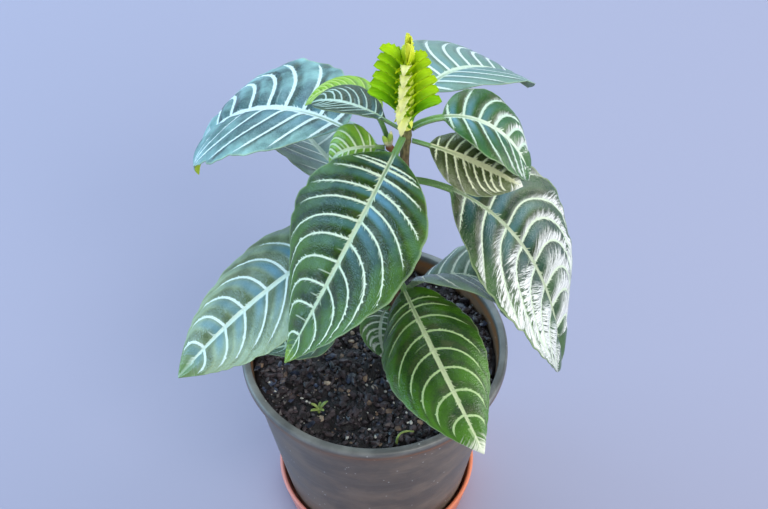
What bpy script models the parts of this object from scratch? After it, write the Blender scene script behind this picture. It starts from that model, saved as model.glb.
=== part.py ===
"""A potted zebra plant: striped arching leaves, a yellow bract head, and a pot standing in a saucer.

Metres, +Z up. The origin is the centre of the saucer's flat underside.
-Y is the plant's front and +X its right.
Plant postures are in whole degrees and millimetres, because they are judged by eye.
"""
import math
import random
from collections import namedtuple

import bmesh
import bpy
import numpy as np

MM = 0.001

# Driving dimensions of the pot, the saucer and the potting mix
RIM_RADIUS = 0.065
RIM_TOP = 0.115
LIP_HEIGHT = 0.0056
LIP_WIDTH = 0.0040
POT_BASE_RADIUS = 0.0452
POT_WALL = 0.0016
POT_FLOOR = 0.0018
DRAIN_HOLES = 6
DRAIN_RADIUS = 0.004
DRAIN_CIRCLE = 0.028
SAUCER_RIM_RADIUS = 0.0515
SAUCER_HEIGHT = 0.0195
SAUCER_BASE_RADIUS = 0.0480
SAUCER_FLOOR = 0.0022
SAUCER_RIM_WIDTH = 0.0022
SAUCER_WALL = 0.0018
SAUCER_COLLAR = 0.0040
FOOT_EASE = 0.0010
LIP_BEAD = 0.0016
LIP_STEP = 0.0006
INNER_EASE = 0.0030
SOIL_TOP = 0.1045
SOIL_EDGE_DROP = 0.0030
SOIL_INSET = 0.0005
SOIL_SIDES = 40
SOIL_RINGS = [1.0, 0.93, 0.8, 0.65, 0.48, 0.3, 0.14]
# Crossing waves of the lumpy top: turns along x and along y, start, and height in metres
SOIL_WAVES = [(190, 70, 0.0, 0.0007), (-90, 240, 1.3, 0.0007), (410, -330, 0.4, 0.0005)]
GAP = 0.0003
ROUND_SIDES = 48

# The stem: (x, y, z) in millimetres along its axis, from inside the potting mix up to the bract head
STEM_LINE = np.array([(5, 0, 80), (5, 0, 104), (7.5, 0, 138), (10, 0.5, 153), (12.8, 0.5, 205),
                      (15, 0, 259.9)])
STEM_RADIUS_LOW = 2.5
STEM_RADIUS_HIGH = 2.0
NODE_SWELL = 0.35
NODE_REACH = 3.0
STEM_SIDES = 10
STEM_RINGS = {80, 92, 104, 112, 122, 132, 178, 199, 209, 233, 259.9}
SEAT_GAP = 0.35

# The short side shoot in the axil of the upper left leaf: the centre and radius of its round end
SHOOT_ROOT = np.array([11.1, 1.6, 243.5])
SHOOT_END = np.array([8.0, 3.0, 246.0])
SHOOT_RADIUS = 1.7
# Its two upright bud leaves: lean direction and length
BUD_LEAVES = [((0.06, -0.12, 1.0), 10.5), ((-0.36, -0.14, 1.0), 8.0)]

# The bract head
HEAD_FOOT = np.array([15.0, 0.0, 260.2])
HEAD_HEIGHT = 51.0
HEAD_LEAN = 0.01
CORE_RADIUS = 2.8
CORE_SHARE = 0.74
BRACT_PAIRS = 12
BRACT_STATIONS = (0.0, 0.3, 0.6, 0.85, 1.0)
BUD_WIDTH = 7.6
BUD_TAPER = 0.6
# The upright bracts that close the head: (heading, rise, length)
BUD_BRACTS = [(20, 82, 14), (140, 86, 16.4), (260, 80, 13)]
# The crossed ranks of bracts: values at the foot and at the top of the head, in degrees and millimetres
Rank = namedtuple("Rank", "heading rise fall length width keel taper")
RANK_PAIRS = [
    (Rank(-3, (66, 76), (4, 20), (22, 14), (13.0, 10.5), 34, 0.5),
     Rank(177, (70, 74), (8, 16), (26, 19), (13.5, 11.0), 34, 0.5)),
    (Rank(87, (66, 74), (-24, 6), (13, 11), (11.0, 8.5), 30, 0.8),
     Rank(256, (60, 72), (-62, -30), (17.0, 13.5), (10.4, 8.4), 18, 0.7)),
]

BLADE_THICKNESS = 0.8
SEED = 4

# A bent seedling at the front, as (centre, radius) sections, and a tuft of sprouts on one root
SEEDLING = [((9.6, -52.0, 99.5), 0.6), ((9.6, -52.0, 105.5), 0.6), ((9.8, -51.6, 108.5), 0.55),
            ((11.4, -50.4, 110.8), 0.5), ((14.2, -49.6, 111.4), 0.5), ((17.6, -49.2, 110.4), 0.4)]
SPROUT_ROOT = np.array([-27.0, -32.6, 99.5])
SPROUT_RADIUS = 0.8
# Each sprout leaf: heading, rise and length
SPROUT_LEAVES = [(20, 50, 5.5), (95, 42, 4.5), (170, 52, 5.0), (235, 40, 4.5), (310, 46, 5.5)]
SPROUT_WIDTH = 2.6

# One leaf: where it leaves the stem, the way it points and turns, how it rises and then hangs, its sizes,
# how its two halves roll, fold up and droop at the edge, and how much its edge waves
Leaf = namedtuple("Leaf", "node height heading swing rise droop bend petiole blade width "
                          "roll_base roll_tip fold edge_droop wave")

LEAVES = [
    Leaf("leaf_front_left", 259, 237, -14, -34, -47, 0.7, 11, 101, 79, 0, 40, 13, 22, 0.6),
    Leaf("leaf_left_low", 212, 190, 27, -26, -33, 1.0, 16, 113, 68, 18, 7, 12, 26, 0.8),
    Leaf("leaf_left_upper", 236, 126, 38, -4, -78, 1.9, 40, 118, 76, 3, -4, 10, 20, 0.8),
    Leaf("leaf_back_left", 191, 128, -22, 11, -34, 1.0, 23, 107, 54, 27, 7, 18, 12, 0.6),
    Leaf("leaf_young_left", 258, 161, -13, 27, -42, 1.5, 10, 37, 22, 35, -10, 19, 13, 0.3),
    Leaf("leaf_back_right", 255, 81, -62, 4, -50, 0.97, 32, 85, 60, 2, -17, 15, 16, 0.6),
    Leaf("leaf_upper_right", 258, 21, -46, 38, -78, 0.7, 17, 57, 41, 14, -13, 15, 24, 0.5),
    Leaf("leaf_right_middle", 254, -9, -1, -9, -32, 0.6, 10.4, 45, 30, 0, 24, 6, 30, 0.4),
    Leaf("leaf_right_large", 229, 15, -74, -14, -85, 0.7, 24, 128, 75, 50, -46, 14, 20, 1.0),
    Leaf("leaf_front_right", 167, 282, 16, 21, -26, 0.9, 15, 91, 49, 31, -13, 2, 40, 0.6),
    Leaf("leaf_right_low", 153, -5, 1, 43, -107, 1.6, 11, 60, 60, -51, -7, 22, 29, 0.5),
    Leaf("leaf_front_small", 146, 236, 54, 20, -28, 1.0, 7, 27, 19, 0, 0, 10, 20, 0.2),
    Leaf("leaf_left_lowest", 145, 194, -5, -29, 2, 1.2, 30, 42, 47, -8, 39, 15, 9, 0.4),
]
SHOOT_LEAVES = [
    Leaf("leaf_shoot_arched", 246, 106, 70, 54, -62, 1.0, 14, 46, 20, 0, 0, 15, 30, 0.2),
    Leaf("leaf_shoot_curled", 246, 188, -26, 12, -100, 1.7, 6, 28, 25, -32, -36, 15, 54, 0.2),
]
LARGE_BLADE = 80
PETIOLE_HALF_WIDTH = 1.5
RIB_DEPTH_BASE = 1.5
RIB_DEPTH_TIP = 0.3
RIB_REACH = 1.9
EDGE_WAVES = 3.1
# Where a blade is broadest: powers of its outline towards the stalk and towards the tip
OUTLINE_POWERS = (0.72, 0.95)


def clear_scene():
    for item in list(bpy.data.objects):
        bpy.data.objects.remove(item, do_unlink=True)


def add_material(name, colour, roughness):
    material = bpy.data.materials.new(name)
    material.use_nodes = True
    shader = material.node_tree.nodes["Principled BSDF"]
    shader.inputs["Base Color"].default_value = (*colour, 1.0)
    shader.inputs["Roughness"].default_value = roughness
    return material


def add_object(name, points, faces, material):
    """A mesh object from points in metres, with its faces turned outwards."""
    mesh = bpy.data.meshes.new(name)
    mesh.from_pydata([tuple(point) for point in points], [], faces)
    solid = bmesh.new()
    solid.from_mesh(mesh)
    bmesh.ops.recalc_face_normals(solid, faces=solid.faces)
    solid.to_mesh(mesh)
    solid.free()
    mesh.materials.append(material)
    piece = bpy.data.objects.new(name, mesh)
    bpy.context.collection.objects.link(piece)
    return piece


def shade_round(piece, sharp_degrees=35):
    piece.data.shade_smooth()
    piece.data.set_sharp_from_angle(angle=math.radians(sharp_degrees))


def arc(centre_r, centre_z, radius, start, end, steps):
    """Points of a profile on an arc, from one angle to another in degrees."""
    angles = np.radians(np.linspace(start, end, steps))
    return [(centre_r + radius * math.cos(a), centre_z + radius * math.sin(a)) for a in angles]


def turn(name, profile, sides, material, centred=False):
    """A turned solid: the profile runs from the underside, up the outside, and back down the inside.

    Its two flat ends are single faces, or fans round a centre point where it is centred.
    """
    points = []
    faces = []
    for radius, height in profile:
        for k in range(sides):
            angle = 2 * math.pi * k / sides
            points.append((radius * math.cos(angle), radius * math.sin(angle), height))
    for ring in range(len(profile) - 1):
        a, b = ring * sides, (ring + 1) * sides
        for k in range(sides):
            n = (k + 1) % sides
            faces.append((a + k, a + n, b + n, b + k))
    low, high = 0, len(points) - sides
    if centred:
        points += [(0.0, 0.0, profile[0][1]), (0.0, 0.0, profile[-1][1])]
        for k in range(sides):
            n = (k + 1) % sides
            faces.append((low + n, low + k, len(points) - 2))
            faces.append((high + k, high + n, len(points) - 1))
    else:
        faces.append(tuple(low + k for k in range(sides))[::-1])
        faces.append(tuple(high + k for k in range(sides)))
    piece = add_object(name, points, faces, material)
    shade_round(piece)
    return piece


def add_cutter(name, radius, low, high, x, y, sides=12):
    bpy.ops.mesh.primitive_cylinder_add(vertices=sides, radius=radius, depth=high - low,
                                        location=(x, y, (low + high) / 2))
    cutter = bpy.context.object
    cutter.name = name
    cutter.hide_render = True
    cutter.display_type = 'WIRE'
    return cutter


def cut(piece, cutters):
    for cutter in cutters:
        modifier = piece.modifiers.new("cut_" + cutter.name, 'BOOLEAN')
        modifier.operation = 'DIFFERENCE'
        modifier.solver = 'EXACT'
        modifier.object = cutter


def pot_outer_radius(height):
    """Radius of the pot's tapered outer wall at a height above the saucer's underside."""
    foot = SAUCER_FLOOR + GAP
    share = (height - foot) / (RIM_TOP - LIP_HEIGHT - foot)
    return POT_BASE_RADIUS + share * (RIM_RADIUS - LIP_WIDTH + 2 * LIP_STEP - POT_BASE_RADIUS)


def add_saucer(material):
    rim_mid = SAUCER_RIM_RADIUS - SAUCER_RIM_WIDTH / 2
    inside = SAUCER_BASE_RADIUS - SAUCER_WALL
    profile = [(SAUCER_BASE_RADIUS - FOOT_EASE, 0.0), (SAUCER_BASE_RADIUS, FOOT_EASE)]
    profile += [(SAUCER_RIM_RADIUS - LIP_STEP, SAUCER_HEIGHT - SAUCER_COLLAR)]
    profile += arc(rim_mid, SAUCER_HEIGHT - SAUCER_RIM_WIDTH / 2, SAUCER_RIM_WIDTH / 2, 0, 180, 5)
    profile += [(inside, SAUCER_FLOOR + FOOT_EASE), (inside - FOOT_EASE, SAUCER_FLOOR)]
    return turn("saucer", profile, ROUND_SIDES, material, centred=True)


def add_pot(material):
    foot = SAUCER_FLOOR + GAP
    lip_low = RIM_TOP - LIP_HEIGHT
    inner_top = RIM_RADIUS - LIP_WIDTH
    profile = [(POT_BASE_RADIUS - FOOT_EASE, foot), (POT_BASE_RADIUS, foot + FOOT_EASE)]
    profile += [(pot_outer_radius(lip_low - LIP_STEP), lip_low - LIP_STEP)]
    profile += [(RIM_RADIUS - LIP_BEAD / 2, lip_low), (RIM_RADIUS, lip_low + 2 * LIP_STEP)]
    profile += arc(RIM_RADIUS - LIP_BEAD, RIM_TOP - LIP_BEAD, LIP_BEAD, 0, 90, 4)
    profile += [(inner_top + LIP_BEAD / 2, RIM_TOP), (inner_top, RIM_TOP - LIP_BEAD / 2)]
    profile += [(pot_outer_radius(lip_low - INNER_EASE) - POT_WALL, lip_low - INNER_EASE)]
    profile += [(pot_outer_radius(foot + POT_FLOOR) - POT_WALL, foot + POT_FLOOR)]
    pot = turn("pot", profile, ROUND_SIDES, material)
    cutters = []
    for k in range(DRAIN_HOLES):
        angle = 2 * math.pi * (k + 0.5) / DRAIN_HOLES
        x, y = DRAIN_CIRCLE * math.cos(angle), DRAIN_CIRCLE * math.sin(angle)
        cutters.append(add_cutter("drain_%d" % k, DRAIN_RADIUS, -0.002, foot + POT_FLOOR + 0.002, x, y))
    cut(pot, cutters)
    return pot


def soil_height(x, y):
    """Top of the lumpy potting mix: a few crossing waves that die away towards the stem and the wall."""
    lumps = sum(size * math.sin(kx * x + ky * y + start) for kx, ky, start, size in SOIL_WAVES)
    near_stem = math.hypot(x - STEM_LINE[1][0] * MM, y)
    return SOIL_TOP + lumps * min(1.0, near_stem / 0.012)


def add_soil(material, holes):
    low = SAUCER_FLOOR + GAP + POT_FLOOR + GAP
    inset = POT_WALL + SOIL_INSET
    sides = SOIL_SIDES
    top_radius = pot_outer_radius(SOIL_TOP - SOIL_EDGE_DROP) - inset
    low_radius = pot_outer_radius(low) - inset
    turns = [(math.cos(2 * math.pi * k / sides), math.sin(2 * math.pi * k / sides)) for k in range(sides)]
    points = [(0.0, 0.0, low)] + [(low_radius * c, low_radius * s, low) for c, s in turns]
    for share in SOIL_RINGS:
        for c, s in turns:
            x, y = share * top_radius * c, share * top_radius * s
            height = SOIL_TOP - SOIL_EDGE_DROP if share == 1.0 else soil_height(x, y)
            points.append((x, y, height))
    points.append((0.0, 0.0, soil_height(0.0, 0.0)))
    faces = []
    last = 1 + len(SOIL_RINGS) * sides
    for k in range(sides):
        n = (k + 1) % sides
        faces.append((0, 1 + n, 1 + k))
        for ring in range(len(SOIL_RINGS)):
            a, b = 1 + ring * sides, 1 + (ring + 1) * sides
            faces.append((a + k, a + n, b + n))
            faces.append((a + k, b + n, b + k))
        faces.append((last + k, last + n, len(points) - 1))
    soil = add_object("potting_mix", points, faces, material)
    cut(soil, holes)
    return soil


def stem_point(height):
    """Point on the stem's axis at a height, in millimetres."""
    return np.array([np.interp(height, STEM_LINE[:, 2], STEM_LINE[:, k]) for k in range(2)] + [height])


def stem_radius(height):
    low, high = STEM_LINE[1][2], STEM_LINE[-1][2]
    share = np.clip((height - low) / (high - low), 0, 1)
    radius = STEM_RADIUS_LOW + (STEM_RADIUS_HIGH - STEM_RADIUS_LOW) * share
    swell = max(math.exp(-((height - leaf.height) / NODE_REACH) ** 2) for leaf in LEAVES)
    return radius + NODE_SWELL * swell


def add_stem(material):
    heights = sorted(STEM_RINGS | {leaf.height for leaf in LEAVES})
    points = []
    faces = []
    for height in heights:
        centre, radius = stem_point(height), stem_radius(height)
        for k in range(STEM_SIDES):
            angle = 2 * math.pi * k / STEM_SIDES
            points.append(((centre[0] + radius * math.cos(angle)) * MM,
                           (centre[1] + radius * math.sin(angle)) * MM, height * MM))
    for ring in range(len(heights) - 1):
        for k in range(STEM_SIDES):
            n = (k + 1) % STEM_SIDES
            a, b = ring * STEM_SIDES, (ring + 1) * STEM_SIDES
            faces.append((a + k, a + n, b + n, b + k))
    faces.append(tuple(range(STEM_SIDES))[::-1])
    faces.append(tuple(len(points) - STEM_SIDES + k for k in range(STEM_SIDES)))
    stem = add_object("stem", points, faces, material)
    shade_round(stem)
    return stem


def add_side_shoot(material):
    """The short shoot: a stub with a round end, seated beside the stem, and two upright bud leaves."""
    pieces = []
    along = SHOOT_END - SHOOT_ROOT
    along = along / np.linalg.norm(along)
    bpy.ops.mesh.primitive_uv_sphere_add(segments=10, ring_count=6, radius=SHOOT_RADIUS * MM,
                                         location=tuple(SHOOT_END * MM))
    pieces.append(bpy.context.object)
    sections = [(SHOOT_ROOT, 1.2), (SHOOT_ROOT + along * 1.2, 1.4), (SHOOT_END, 1.5)]
    pieces.append(add_tube("shoot_stub", sections, 8, material))
    for lean, length in BUD_LEAVES:
        way = np.array(lean) / np.linalg.norm(lean)
        root = SHOOT_END + way * 0.6
        sections = [(root, 0.9), (root + way * length * 0.35, 1.3), (root + way * length * 0.7, 1.1),
                    (root + way * length, 0.4)]
        pieces.append(add_tube("bud_leaf", sections, 6, material))
    shoot = fuse("side_shoot", pieces, material)
    shade_round(shoot, 50)
    return shoot


def add_tube(name, sections, sides, material):
    """A closed tube through (centre, radius) sections in millimetres."""
    centres = [np.array(centre, float) for centre, _ in sections]
    points = []
    faces = []
    for i, (centre, radius) in enumerate(sections):
        ahead = centres[min(i + 1, len(centres) - 1)] - centres[max(i - 1, 0)]
        ahead = ahead / np.linalg.norm(ahead)
        helper = np.array([0.0, 1.0, 0.0]) if abs(ahead[1]) < 0.9 else np.array([1.0, 0.0, 0.0])
        side = np.cross(ahead, helper)
        side = side / np.linalg.norm(side)
        other = np.cross(ahead, side)
        for k in range(sides):
            angle = 2 * math.pi * k / sides
            offset = side * math.cos(angle) * radius + other * math.sin(angle) * radius
            points.append((np.array(centre) + offset) * MM)
    for ring in range(len(sections) - 1):
        for k in range(sides):
            n = (k + 1) % sides
            a, b = ring * sides, (ring + 1) * sides
            faces.append((a + k, a + n, b + n, b + k))
    faces.append(tuple(range(sides))[::-1])
    faces.append(tuple(len(points) - sides + k for k in range(sides)))
    return add_object(name, points, faces, material)


def keep_outer_body(mesh):
    """Drop the sealed hollows and loose scraps that a union leaves, and keep its one outer body."""
    solid = bmesh.new()
    solid.from_mesh(mesh)
    bmesh.ops.triangulate(solid, faces=solid.faces)
    unseen = set(solid.verts)
    bodies = []
    while unseen:
        stack = [unseen.pop()]
        body = set(stack)
        while stack:
            for edge in stack.pop().link_edges:
                for vertex in edge.verts:
                    if vertex in unseen:
                        unseen.remove(vertex)
                        body.add(vertex)
                        stack.append(vertex)
        bodies.append(body)
    outer = max(bodies, key=len)
    bmesh.ops.delete(solid, geom=[v for v in solid.verts if v not in outer], context='VERTS')
    bmesh.ops.recalc_face_normals(solid, faces=solid.faces)
    solid.to_mesh(mesh)
    solid.free()


def fuse(name, pieces, material):
    """One solid from overlapping pieces, by a single Boolean union on their collection."""
    group = bpy.data.collections.new(name + "_pieces")
    bpy.context.scene.collection.children.link(group)
    first, rest = pieces[0], pieces[1:]
    for piece in rest:
        for holder in list(piece.users_collection):
            holder.objects.unlink(piece)
        group.objects.link(piece)
    modifier = first.modifiers.new("fuse", 'BOOLEAN')
    modifier.operation = 'UNION'
    modifier.operand_type = 'COLLECTION'
    modifier.collection = group
    modifier.solver = 'MANIFOLD'
    bpy.context.view_layer.update()
    evaluated = first.evaluated_get(bpy.context.evaluated_depsgraph_get())
    mesh = bpy.data.meshes.new_from_object(evaluated)
    mesh.transform(first.matrix_world)
    keep_outer_body(mesh)
    for piece in pieces:
        bpy.data.objects.remove(piece, do_unlink=True)
    bpy.data.collections.remove(group)
    mesh.materials.clear()
    mesh.materials.append(material)
    whole = bpy.data.objects.new(name, mesh)
    bpy.context.collection.objects.link(whole)
    return whole


def outline_share(u):
    """Half-width of the blade at a share of its length: broadest before the middle, pointed at the tip."""
    rise, fall = OUTLINE_POWERS
    peak = (rise / (rise + fall)) ** rise * (fall / (rise + fall)) ** fall
    return u ** rise * (1 - u) ** fall / peak


def midrib(leaf, base, count=120):
    """Points, directions, side vectors and upper normals along a leaf, in millimetres."""
    share = np.linspace(0, 1, count)
    length = leaf.petiole + leaf.blade
    rise = np.radians(leaf.rise + (leaf.droop - leaf.rise) * share ** leaf.bend)
    head = np.radians(leaf.heading + leaf.swing * share)
    ahead = np.stack([np.cos(rise) * np.cos(head), np.cos(rise) * np.sin(head), np.sin(rise)], 1)
    steps = (ahead[1:] + ahead[:-1]) / 2 * length / (count - 1)
    points = base + np.vstack([np.zeros(3), np.cumsum(steps, 0)])
    flat = np.stack([-np.sin(head), np.cos(head), np.zeros(count)], 1)
    up = np.cross(ahead, flat)
    roll = np.radians(leaf.roll_base + (leaf.roll_tip - leaf.roll_base) * share)[:, None]
    side = np.cos(roll) * flat + np.sin(roll) * up
    normal = -np.sin(roll) * flat + np.cos(roll) * up
    return share, points, ahead, side, normal


def petiole_half_width(leaf):
    return PETIOLE_HALF_WIDTH * (1.0 if leaf.blade > 50 else 0.65)


def cross_section(leaf, u, columns):
    """Offsets of a blade's section, sideways and up: folded at the midrib and drooping at the edge."""
    across = np.linspace(-1, 1, columns + 1)
    blade = 0.0 if u <= 0 else float(outline_share(min(u, 1.0)))
    half = max(leaf.width / 2 * blade, 0.0)
    wing = petiole_half_width(leaf) * (1 if u <= 0 else max(0.25, 1 - u * 1.2))
    half = math.hypot(half, wing) if u < 0.5 else max(half, 0.45)
    settled = np.clip(u / 0.12, 0, 1)
    fold, droop = np.radians(leaf.fold * settled), np.radians(leaf.edge_droop * settled)
    reach = np.abs(across)
    if droop < 1e-4:
        out, up = reach * math.cos(fold), reach * math.sin(fold)
    else:
        out = (math.sin(fold) - np.sin(fold - droop * reach)) / droop
        up = (np.cos(fold - droop * reach) - math.cos(fold)) / droop
    wave = np.sin(2 * math.pi * (EDGE_WAVES * u + 0.2 * np.sign(across)))
    ripple = leaf.wave * wave * reach ** 3 * settled * (1 - u)
    return half * out * np.sign(across), half * up + ripple


def leaf_sections(leaf, base, clear, upright_start):
    """Rings of the leaf's loft, each running over the upper face and back under the lower face."""
    share, points, ahead, side, normal = midrib(leaf, base)
    length = leaf.petiole + leaf.blade
    large = leaf.blade >= LARGE_BLADE
    columns = 6 if large else 4
    rows = 14 if large else 9
    from_base = np.linalg.norm(points - base, axis=1)
    if upright_start:
        from_base = np.linalg.norm((points - base)[:, :2], axis=1)
    start = float(np.interp(clear, from_base, share))
    blade_start = leaf.petiole / length
    petiole_rows = 4 if leaf.petiole > 18 else 3
    stations = list(np.linspace(start, blade_start, petiole_rows, endpoint=False))
    turned = (1 - np.cos(np.pi * np.linspace(0, 1, rows + 1))) / 2
    even = np.linspace(0, 1, rows + 1)
    stations += list(blade_start + (1 - blade_start) * (0.5 * turned + 0.5 * even))
    rings = []
    for number, s in enumerate(stations):
        u = (s - blade_start) / (1 - blade_start)
        centre, way, over, up = (np.array([np.interp(s, share, array[:, k]) for k in range(3)])
                                 for array in (points, ahead, side, normal))
        out, lift = cross_section(leaf, u, columns)
        depth = RIB_DEPTH_BASE + (RIB_DEPTH_TIP - RIB_DEPTH_BASE) * np.clip(u, 0, 1) ** 0.5
        depth = depth * petiole_half_width(leaf) / PETIOLE_HALF_WIDTH
        rib = depth * np.clip(1 - np.abs(out) / RIB_REACH, 0, 1)
        middle = centre + out[:, None] * over + lift[:, None] * up
        top = middle + up * BLADE_THICKNESS / 2
        under = middle - up * (BLADE_THICKNESS / 2 + rib[:, None])
        ring = np.vstack([top, under[::-1]])
        if number == 0 and upright_start:
            level = np.array([way[0], way[1], 0.0])
            level = level / np.linalg.norm(level)
            ring = ring + np.outer((centre - ring) @ level, way) / (way @ level)
        rings.append(ring)
    return rings


def loft(rings):
    """Triangles over the rings, split alike on both faces, and two end caps."""
    size = len(rings[0])
    half = size // 2
    points = np.vstack(rings)
    faces = []
    for r in range(len(rings) - 1):
        a, b = r * size, (r + 1) * size
        for k in range(size):
            n = (k + 1) % size
            if k < half:
                faces += [(a + k, b + k, b + n), (a + k, b + n, a + n)]
            else:
                faces += [(a + k, b + k, a + n), (a + n, b + k, b + n)]
    for first in (0, (len(rings) - 1) * size):
        for k in range(half - 1):
            low, high = first + k, first + size - 1 - k
            faces += [(low, low + 1, high), (low + 1, high - 1, high)]
    return points, faces


def add_leaf(leaf, base, clear, material, upright_start=True):
    points, faces = loft(leaf_sections(leaf, base, clear, upright_start))
    piece = add_object(leaf.node, points * MM, faces, material)
    shade_round(piece, 60)
    return piece


def bract_sections(root, heading, rise, fall, length, width, keel, taper=0.5):
    """Rings of one boat-shaped bract: broad past its middle, and turned outwards towards its tip."""
    rings = []
    spot = np.array(root, float)
    head = math.radians(heading)
    side = np.array([-math.sin(head), math.cos(head), 0.0])
    level = np.array([math.cos(head), math.sin(head), 0.0])
    before = 0.0
    for u in BRACT_STATIONS:
        climb = math.radians(rise + (fall - rise) * u ** 2)
        way = math.cos(climb) * level + np.array([0.0, 0.0, math.sin(climb)])
        spot = spot + way * length * (u - before)
        before = u
        up = np.cross(way, side)
        half = max(width / 2 * (0.5 + 1.3 * u) * (1 - u) ** taper, 0.45)
        fold = math.radians(keel * (1 - 0.5 * u))
        out = np.array([-half, 0.0, half])
        lift = np.abs(out) * math.tan(fold)
        middle = spot + out[:, None] * side + lift[:, None] * up
        top = middle + up * BLADE_THICKNESS / 2
        under = middle - up * BLADE_THICKNESS / 2
        rings.append(np.vstack([top, under[::-1]]))
    return rings


def add_bract_head(material):
    """The four-ranked head: crossed pairs of keeled bracts on a slim core, closing to a pointed bud."""
    draw = random.Random(SEED)
    top = HEAD_FOOT + np.array([HEAD_LEAN * HEAD_HEIGHT, 0, HEAD_HEIGHT * CORE_SHARE])
    middle = HEAD_FOOT * 0.4 + top * 0.6
    core = [(HEAD_FOOT, 1.9), (HEAD_FOOT + (0, 0, 3), CORE_RADIUS), (middle, CORE_RADIUS), (top, 1.2)]
    pieces = [add_tube("core", core, 8, material)]
    for pair in range(BRACT_PAIRS):
        level = pair / (BRACT_PAIRS - 1)
        centre = HEAD_FOOT + (top - HEAD_FOOT) * (0.05 + 0.78 * level)
        for rank in RANK_PAIRS[pair % 2]:
            rise, fall, length, width = (low + (high - low) * level for low, high in rank[1:5])
            heading = rank.heading + draw.uniform(-4, 4)
            stretch = draw.uniform(0.96, 1.04)
            rings = bract_sections(centre, heading, rise, fall, length * stretch, width,
                                   rank.keel, rank.taper)
            points, faces = loft(rings)
            pieces.append(add_object("bract", points * MM, faces, material))
    for heading, rise, length in BUD_BRACTS:
        rings = bract_sections(top - (0, 0, 3), heading, rise, rise + 6, length, BUD_WIDTH, 36, BUD_TAPER)
        points, faces = loft(rings)
        pieces.append(add_object("bract", points * MM, faces, material))
    head = fuse("bract_head", pieces, material)
    shade_round(head, 40)
    return head


def add_seedling(material):
    """A thin bent seedling at the front of the pot, its foot in a plain hole in the potting mix."""
    piece = add_tube("seedling", SEEDLING, 6, material)
    shade_round(piece, 60)
    return piece


def add_sprouts(material):
    """A tuft of tiny weed sprouts on one root, which stands in its own plain hole."""
    root = SPROUT_ROOT
    sections = [(root, SPROUT_RADIUS), (root + (0, 0, 5.8), SPROUT_RADIUS), (root + (0, 0, 7.4), 0.7)]
    pieces = [add_tube("root", sections, 6, material)]
    for heading, rise, length in SPROUT_LEAVES:
        rings = bract_sections(root + (0, 0, 6.6), heading, rise, 5, length, SPROUT_WIDTH, 10)
        points, faces = loft(rings)
        pieces.append(add_object("sprout_leaf", points * MM, faces, material))
    tuft = fuse("weed_sprouts", pieces, material)
    shade_round(tuft, 50)
    return tuft


def add_hole(name, foot, radius, sides):
    """Cutter for a plain hole in the potting mix, a little wider and deeper than what stands in it."""
    room = GAP + 0.0001
    x, y, z = (value * MM for value in foot)
    return add_cutter(name, radius * MM + room, z - room, RIM_TOP, x, y, sides)


def build():
    clear_scene()
    saucer_plastic = add_material("saucer_plastic", (0.62, 0.22, 0.14), 0.5)
    pot_plastic = add_material("pot_plastic", (0.09, 0.085, 0.08), 0.45)
    mix = add_material("potting_mix", (0.03, 0.022, 0.018), 0.95)
    bark = add_material("stem", (0.22, 0.14, 0.08), 0.7)
    blade = add_material("leaf", (0.05, 0.13, 0.05), 0.35)
    young = add_material("young_leaf", (0.22, 0.36, 0.06), 0.4)
    yellow = add_material("bract", (0.62, 0.75, 0.06), 0.4)
    sprout = add_material("sprout", (0.36, 0.5, 0.16), 0.6)

    add_saucer(saucer_plastic)
    add_pot(pot_plastic)
    holes = [add_hole("stem_hole", STEM_LINE[0], STEM_RADIUS_LOW, 16),
             add_hole("seedling_hole", SEEDLING[0][0], SEEDLING[0][1], 8),
             add_hole("sprout_hole", SPROUT_ROOT, SPROUT_RADIUS, 8)]
    add_soil(mix, holes)
    add_stem(bark)
    for leaf in LEAVES:
        base = stem_point(leaf.height)
        add_leaf(leaf, base, stem_radius(leaf.height) + SEAT_GAP, blade)
    add_side_shoot(young)
    for leaf in SHOOT_LEAVES:
        add_leaf(leaf, SHOOT_END, SHOOT_RADIUS + SEAT_GAP, young, upright_start=False)
    add_bract_head(yellow)
    add_seedling(sprout)
    add_sprouts(sprout)


build()
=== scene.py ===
"""Looks of the potted zebra plant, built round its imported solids.

Metres, in the part's own frame: the origin is the centre of the saucer's flat underside, +Z is up and
-Y is the plant's front. Plant postures are in millimetres and degrees, as in the part's source.
"""
import math
import random
from collections import namedtuple
from functools import reduce
from types import SimpleNamespace

import bpy
import numpy as np
from mathutils import Matrix, Vector, noise


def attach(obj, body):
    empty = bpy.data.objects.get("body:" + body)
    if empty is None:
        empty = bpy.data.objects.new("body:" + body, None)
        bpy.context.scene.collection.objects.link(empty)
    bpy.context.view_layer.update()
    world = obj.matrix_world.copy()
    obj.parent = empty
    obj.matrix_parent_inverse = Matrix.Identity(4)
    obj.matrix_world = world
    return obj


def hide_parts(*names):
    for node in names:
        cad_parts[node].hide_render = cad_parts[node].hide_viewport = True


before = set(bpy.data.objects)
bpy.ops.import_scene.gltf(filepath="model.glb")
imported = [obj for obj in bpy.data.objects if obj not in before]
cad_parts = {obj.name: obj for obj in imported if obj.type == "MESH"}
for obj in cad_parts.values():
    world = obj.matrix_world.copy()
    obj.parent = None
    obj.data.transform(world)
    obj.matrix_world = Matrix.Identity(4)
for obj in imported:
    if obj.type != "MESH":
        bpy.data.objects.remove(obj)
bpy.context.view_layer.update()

MM = 0.001

# The photograph's camera: lens and sensor, the point it looks at, its distance, height angle and roll
LENS = 72.0
SENSOR = 36.0
IMAGE_WIDTH, IMAGE_HEIGHT = 768, 509
RIM_PIXEL = (374.4, 343.4)
RIM_CENTRE = np.array([0.0, 0.0, 115.0])
CAMERA_DISTANCE = 750.0
CAMERA_ELEVATION = math.radians(52.0)
CAMERA_ROLL = math.radians(1.1)

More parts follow.
